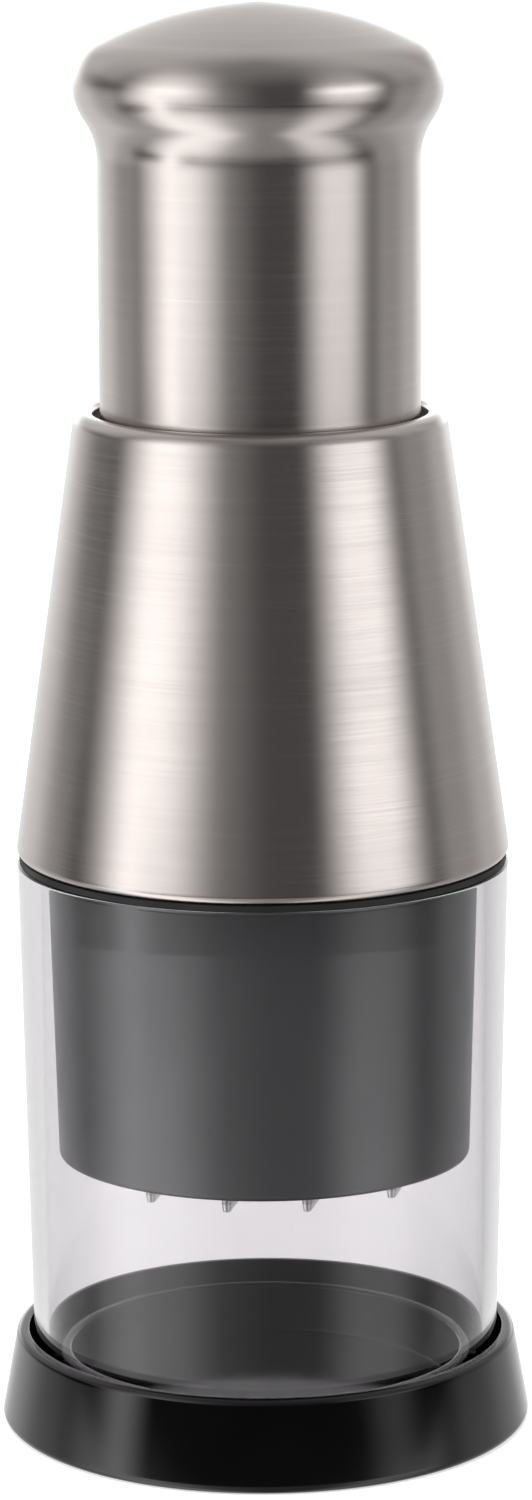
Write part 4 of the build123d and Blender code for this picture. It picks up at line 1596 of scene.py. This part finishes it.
@dataclass(frozen=True)
class Flag:
    """Black card bent round the object, which only mirroring faces see. Lengths are metres.

    Directions are degrees, 0 towards the camera. Each gap is a direction, a half width and the share of
    the light behind it that it lets through.
    """

    title: str = "front_flag"
    radius: float = 0.45
    bottom: float = -0.015
    top: float = 0.085
    start: int = -118
    end: int = 106
    gaps: tuple[tuple[float, float, float], ...] = ((-65, 8, 0.95), (56, 9, 0.28))
    softness: float = 9.0
    solid_height: float = 0.7  # share of the height up to which the card is solid
    colour: str = "141414"

    def stand(self) -> None:
        """Stand the card round the object."""
        verts: list[Place] = []
        for angle in range(self.start, self.end + 1):
            way = math.radians(angle)
            x, y = self.radius * math.sin(way), -self.radius * math.cos(way)
            verts += [(x, y, self.bottom), (x, y, self.top)]
        faces = [(i, i + 2, i + 3, i + 1) for i in range(0, len(verts) - 2, 2)]
        mesh = bpy.data.meshes.new(self.title)
        mesh.from_pydata(verts, [], faces)
        mesh.materials.append(self.paper())
        link_object(self.title, mesh)

    def paper(self) -> bpy.types.Material:
        """Make the black paper.

        Returns:
            Material that is clear until a reflection has happened, and in the gaps.
        """
        material, tree = blank_material(f"{self.title}_black_paper")
        place = add_node(tree, "ShaderNodeTexCoord").outputs["Object"]
        degrees, part = compass(tree, place)
        cover: Link = add_node(
            tree,
            "ShaderNodeMapRange",
            SMOOTH,
            Value=part[2],
            From_Min=self.top,
            From_Max=self.top * self.solid_height,
        )
        ends = [(end, 2 * self.softness, 1.0) for end in (self.start, self.end)]
        for direction, half_width, light in (*self.gaps, *ends):
            start = max(half_width - self.softness, 0.0)
            solid = beside(tree, degrees, direction, start, half_width + self.softness, 1 - light)
            cover = add_node(tree, "ShaderNodeMath", {"operation": "MULTIPLY"}, i0=cover, i1=solid)
        seen = add_node(
            tree, "ShaderNodeMath", {"operation": "MULTIPLY"}, i0=bounced(tree, "Glossy"), i1=cover
        )
        clear = add_node(tree, "ShaderNodeBsdfTransparent")
        black = add_node(tree, "ShaderNodeBsdfDiffuse", Color=linear(self.colour))
        surface = add_node(tree, "ShaderNodeMixShader", Fac=seen, i1=clear, i2=black)
        add_node(tree, "ShaderNodeOutputMaterial", Surface=surface)
        return material


@dataclass
class Studio:
    """Pale floor, soft light and the camera. Lengths are metres."""

    camera_place: Place = (0.0006, -0.860, 0.288)
    camera_pitch: float = 11.75  # degrees below level
    camera_roll: float = 0.32  # degrees clockwise
    focal_length: float = 133.1  # millimetres
    floor_size: float = 8.0
    floor_drop: float = 0.00005  # below the object's foot, so that the two faces don't flicker
    floor_colour: str = "f2f2f2"
    floor_lift: float = 0.52  # own light of the floor, as the camera sees it
    table_glow: float = 0.3  # of the floor in front of the object, in polished faces
    glow_ahead: float = 0.2
    glow_radii: tuple[float, float] = (0.3, 0.1)  # where it starts and where it is full
    fill_level: float = 0.55
    dark_level: float = 0.1
    up_range: tuple[float, float] = (-0.12, 0.02)  # rise of the direction, over a length of 1
    high_range: tuple[float, float] = (0.1, 0.3)
    ceiling_range: tuple[float, float] = (0.4, 0.85)
    ceiling_front: float = 0.3
    ceiling_back: float = 0.75
    ceiling_slope: tuple[float, float] = (-0.2, 0.6)  # from the front of the ceiling to its back
    ceiling_bend: float = 0.7  # how much the ceiling's sides count as its back
    aim: Place = (0.0, 0.0, 0.1)
    lamps: tuple[tuple[str, Place, float, float], ...] = (  # name, place, side and watts
        ("left_softbox", (-1.1, -0.9, 0.9), 0.9, 11.0),
        ("right_softbox", (1.2, -0.6, 0.7), 0.7, 5.0),
        ("top_softbox", (0.0, 0.1, 1.5), 1.0, 8.0),
    )
    flag: Flag = Flag()
    panels: tuple[Panel, ...] = (
        Panel("key", -58, 2, 38, 1.3, 2.3, 1.5),
        Panel("key_foot", -78, 4, 20, 0.0, 0.0, 0.7),
        Panel("key_spill", -28, 0, 34, 0.2, 0.3, 0.3),
        Panel("rim", 57, 6, 28, 0.5, 2.3, 1.0),
        Panel("left_back", -118, 10, 28, 0.5, 0.0, 0.5),
        Panel("right_back", 112, 10, 24, 0.45, 0.3, 0.4),
        Panel("back", 180, 20, 50, 0.55, 0.9, 0.85),
        Panel("back_glow", 180, 10, 34, 0.3, 1.3, 0.0),
    )

    def build(self) -> None:
        """Set up the whole studio."""
        self.set_world()
        self.lay_floor()
        self.flag.stand()
        for name, place, size, power in self.lamps:
            self.hang_lamp(name, Vector(place), size, power)
        self.place_camera()
        bpy.context.scene.view_settings.view_transform = "Standard"

    def mirrored(self, tree: Tree, direction: Link) -> Link:
        """Brightness that polished faces see in a direction.

        Args:
            tree: the world's node tree.
            direction: the direction.

        Returns:
            The brightness.
        """
        degrees, part = compass(tree, direction)
        is_up, is_high, is_overhead = (
            add_node(tree, "ShaderNodeMapRange", Value=part[2], From_Min=low, From_Max=high)
            for low, high in (self.up_range, self.high_range, self.ceiling_range)
        )
        level: Link = self.dark_level
        for panel in self.panels:
            level = panel.add_to(tree, level, degrees, is_up, is_high)
        sideways = add_node(tree, "ShaderNodeMath", {"operation": "ABSOLUTE"}, i0=part[0])
        backwards = add_node(
            tree,
            "ShaderNodeMath",
            {"operation": "MULTIPLY_ADD"},
            i0=sideways,
            i1=self.ceiling_bend,
            i2=part[1],
        )
        ceiling = add_node(
            tree,
            "ShaderNodeMapRange",
            Value=backwards,
            From_Min=self.ceiling_slope[0],
            From_Max=self.ceiling_slope[1],
            To_Min=self.ceiling_front,
            To_Max=self.ceiling_back,
        )
        return add_node(
            tree, "ShaderNodeMix", {"data_type": "FLOAT"}, Factor=is_overhead, i2=level, i3=ceiling
        )

    def set_world(self) -> None:
        """White behind the object, an even fill for matt faces, and soft boxes for polished ones."""
        world = bpy.data.worlds.new("studio")
        bpy.context.scene.world = world
        world.use_nodes = True
        tree = world.node_tree
        tree.nodes.clear()
        path = add_node(tree, "ShaderNodeLightPath").outputs
        direction = add_node(tree, "ShaderNodeTexCoord").outputs["Generated"]
        bounces = add_node(
            tree,
            "ShaderNodeMath",
            {"operation": "ADD"},
            i0=path["Glossy Depth"],
            i1=path["Diffuse Depth"],
        )
        straight = add_node(tree, "ShaderNodeMath", {"operation": "LESS_THAN"}, i0=bounces, i1=0.5)
        through = add_node(
            tree, "ShaderNodeMath", {"operation": "MULTIPLY"}, i0=straight, i1=path["Is Transmission Ray"]
        )
        seen = add_node(
            tree, "ShaderNodeMath", {"operation": "MAXIMUM"}, i0=path["Is Camera Ray"], i1=through
        )
        level: Link = self.fill_level
        choices = (
            (path["Is Glossy Ray"], self.mirrored(tree, direction)),
            (bounced(tree, "Diffuse"), self.fill_level),
            (seen, 1.0),
        )
        for choice, chosen in choices:
            level = add_node(
                tree, "ShaderNodeMix", {"data_type": "FLOAT"}, Factor=choice, i2=level, i3=chosen
            )
        background = add_node(tree, "ShaderNodeBackground", Color=WHITE, Strength=level)
        add_node(tree, "ShaderNodeOutputWorld", Surface=background)

    def lay_floor(self) -> None:
        """Lay a plain pale floor, which takes shadows and lets polished faces see past it."""
        half, low = self.floor_size / 2, -self.floor_drop
        mesh = bpy.data.meshes.new("studio_floor")
        corners = [(-half, -half, low), (half, -half, low), (half, half, low), (-half, half, low)]
        mesh.from_pydata(corners, [], [(0, 1, 2, 3)])
        mesh.materials.append(self.floor_board())
        link_object("studio_floor", mesh)

    def floor_board(self) -> bpy.types.Material:
        """Make the painted board.

        Returns:
            Material that is matt paint, and clear with a soft glow once a reflection has happened.
        """
        material, tree = blank_material("floor_painted_board")
        path = add_node(tree, "ShaderNodeLightPath").outputs
        paint = add_node(tree, "ShaderNodeBsdfDiffuse", Color=linear(self.floor_colour))
        seen = add_node(
            tree,
            "ShaderNodeMath",
            {"operation": "MAXIMUM"},
            i0=path["Is Camera Ray"],
            i1=path["Is Transmission Ray"],
        )
        lift = add_node(tree, "ShaderNodeMath", {"operation": "MULTIPLY"}, i0=seen, i1=self.floor_lift)
        place = add_node(tree, "ShaderNodeTexCoord").outputs["Object"]
        ahead = (0, -self.glow_ahead, 0)
        away = add_node(
            tree, "ShaderNodeVectorMath", {"operation": "DISTANCE"}, i0=place, i1=ahead
        ).outputs["Value"]
        near = add_node(
            tree,
            "ShaderNodeMapRange",
            SMOOTH,
            Value=away,
            From_Min=self.glow_radii[0],
            From_Max=self.glow_radii[1],
            To_Max=self.table_glow,
        )
        clear = add_node(tree, "ShaderNodeBsdfTransparent")
        board, past = (
            add_node(
                tree,
                "ShaderNodeAddShader",
                i0=base,
                i1=add_node(tree, "ShaderNodeEmission", Color=WHITE, Strength=strength),
            )
            for base, strength in ((paint, lift), (clear, near))
        )
        surface = add_node(tree, "ShaderNodeMixShader", Fac=bounced(tree, "Glossy"), i1=board, i2=past)
        add_node(tree, "ShaderNodeOutputMaterial", Surface=surface)
        return material

    def hang_lamp(self, name: str, place: Vector, size: float, power: float) -> None:
        """Hang a square soft lamp that points at the object.

        Args:
            name: the lamp's name.
            place: where it hangs, in metres.
            size: its side in metres.
            power: its power in watts.
        """
        light = bpy.data.lights.new(name, "AREA")
        light.size = size
        light.energy = power
        lamp = link_object(name, light)
        lamp.location = place
        lamp.rotation_euler = (Vector(self.aim) - place).to_track_quat("-Z", "Y").to_euler()
        lamp.visible_glossy = False
        lamp.visible_camera = False
        lamp.visible_transmission = False

    def place_camera(self) -> None:
        """Place the camera in front, a little above, looking down."""
        lens = bpy.data.cameras.new("camera")
        lens.lens = self.focal_length
        camera = link_object("camera", lens)
        camera.location = self.camera_place
        tilt = Euler((math.radians(90 - self.camera_pitch), 0, 0)).to_matrix()
        roll = Euler((0, 0, -math.radians(self.camera_roll))).to_matrix()
        camera.rotation_euler = (tilt @ roll).to_euler()
        bpy.context.scene.camera = camera


# ---- Putting it together ---------------------------------------------------------------------------


def main() -> None:
    """Build and dress the chopper in its studio."""
    logging.basicConfig(level=logging.INFO, format="%(name)s: %(message)s")
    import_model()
    assemblies = [
        BaseCap(),
        ClearContainer(),
        SteelHousing(),
        ReturnSpring(),
        GuardCup(),
        Stripper(),
        BladeCarriage(),
        PlungerHandle(),
    ]
    for assembly in assemblies:
        assembly.build()
    Studio().build()


if __name__ == "__main__":
    main()
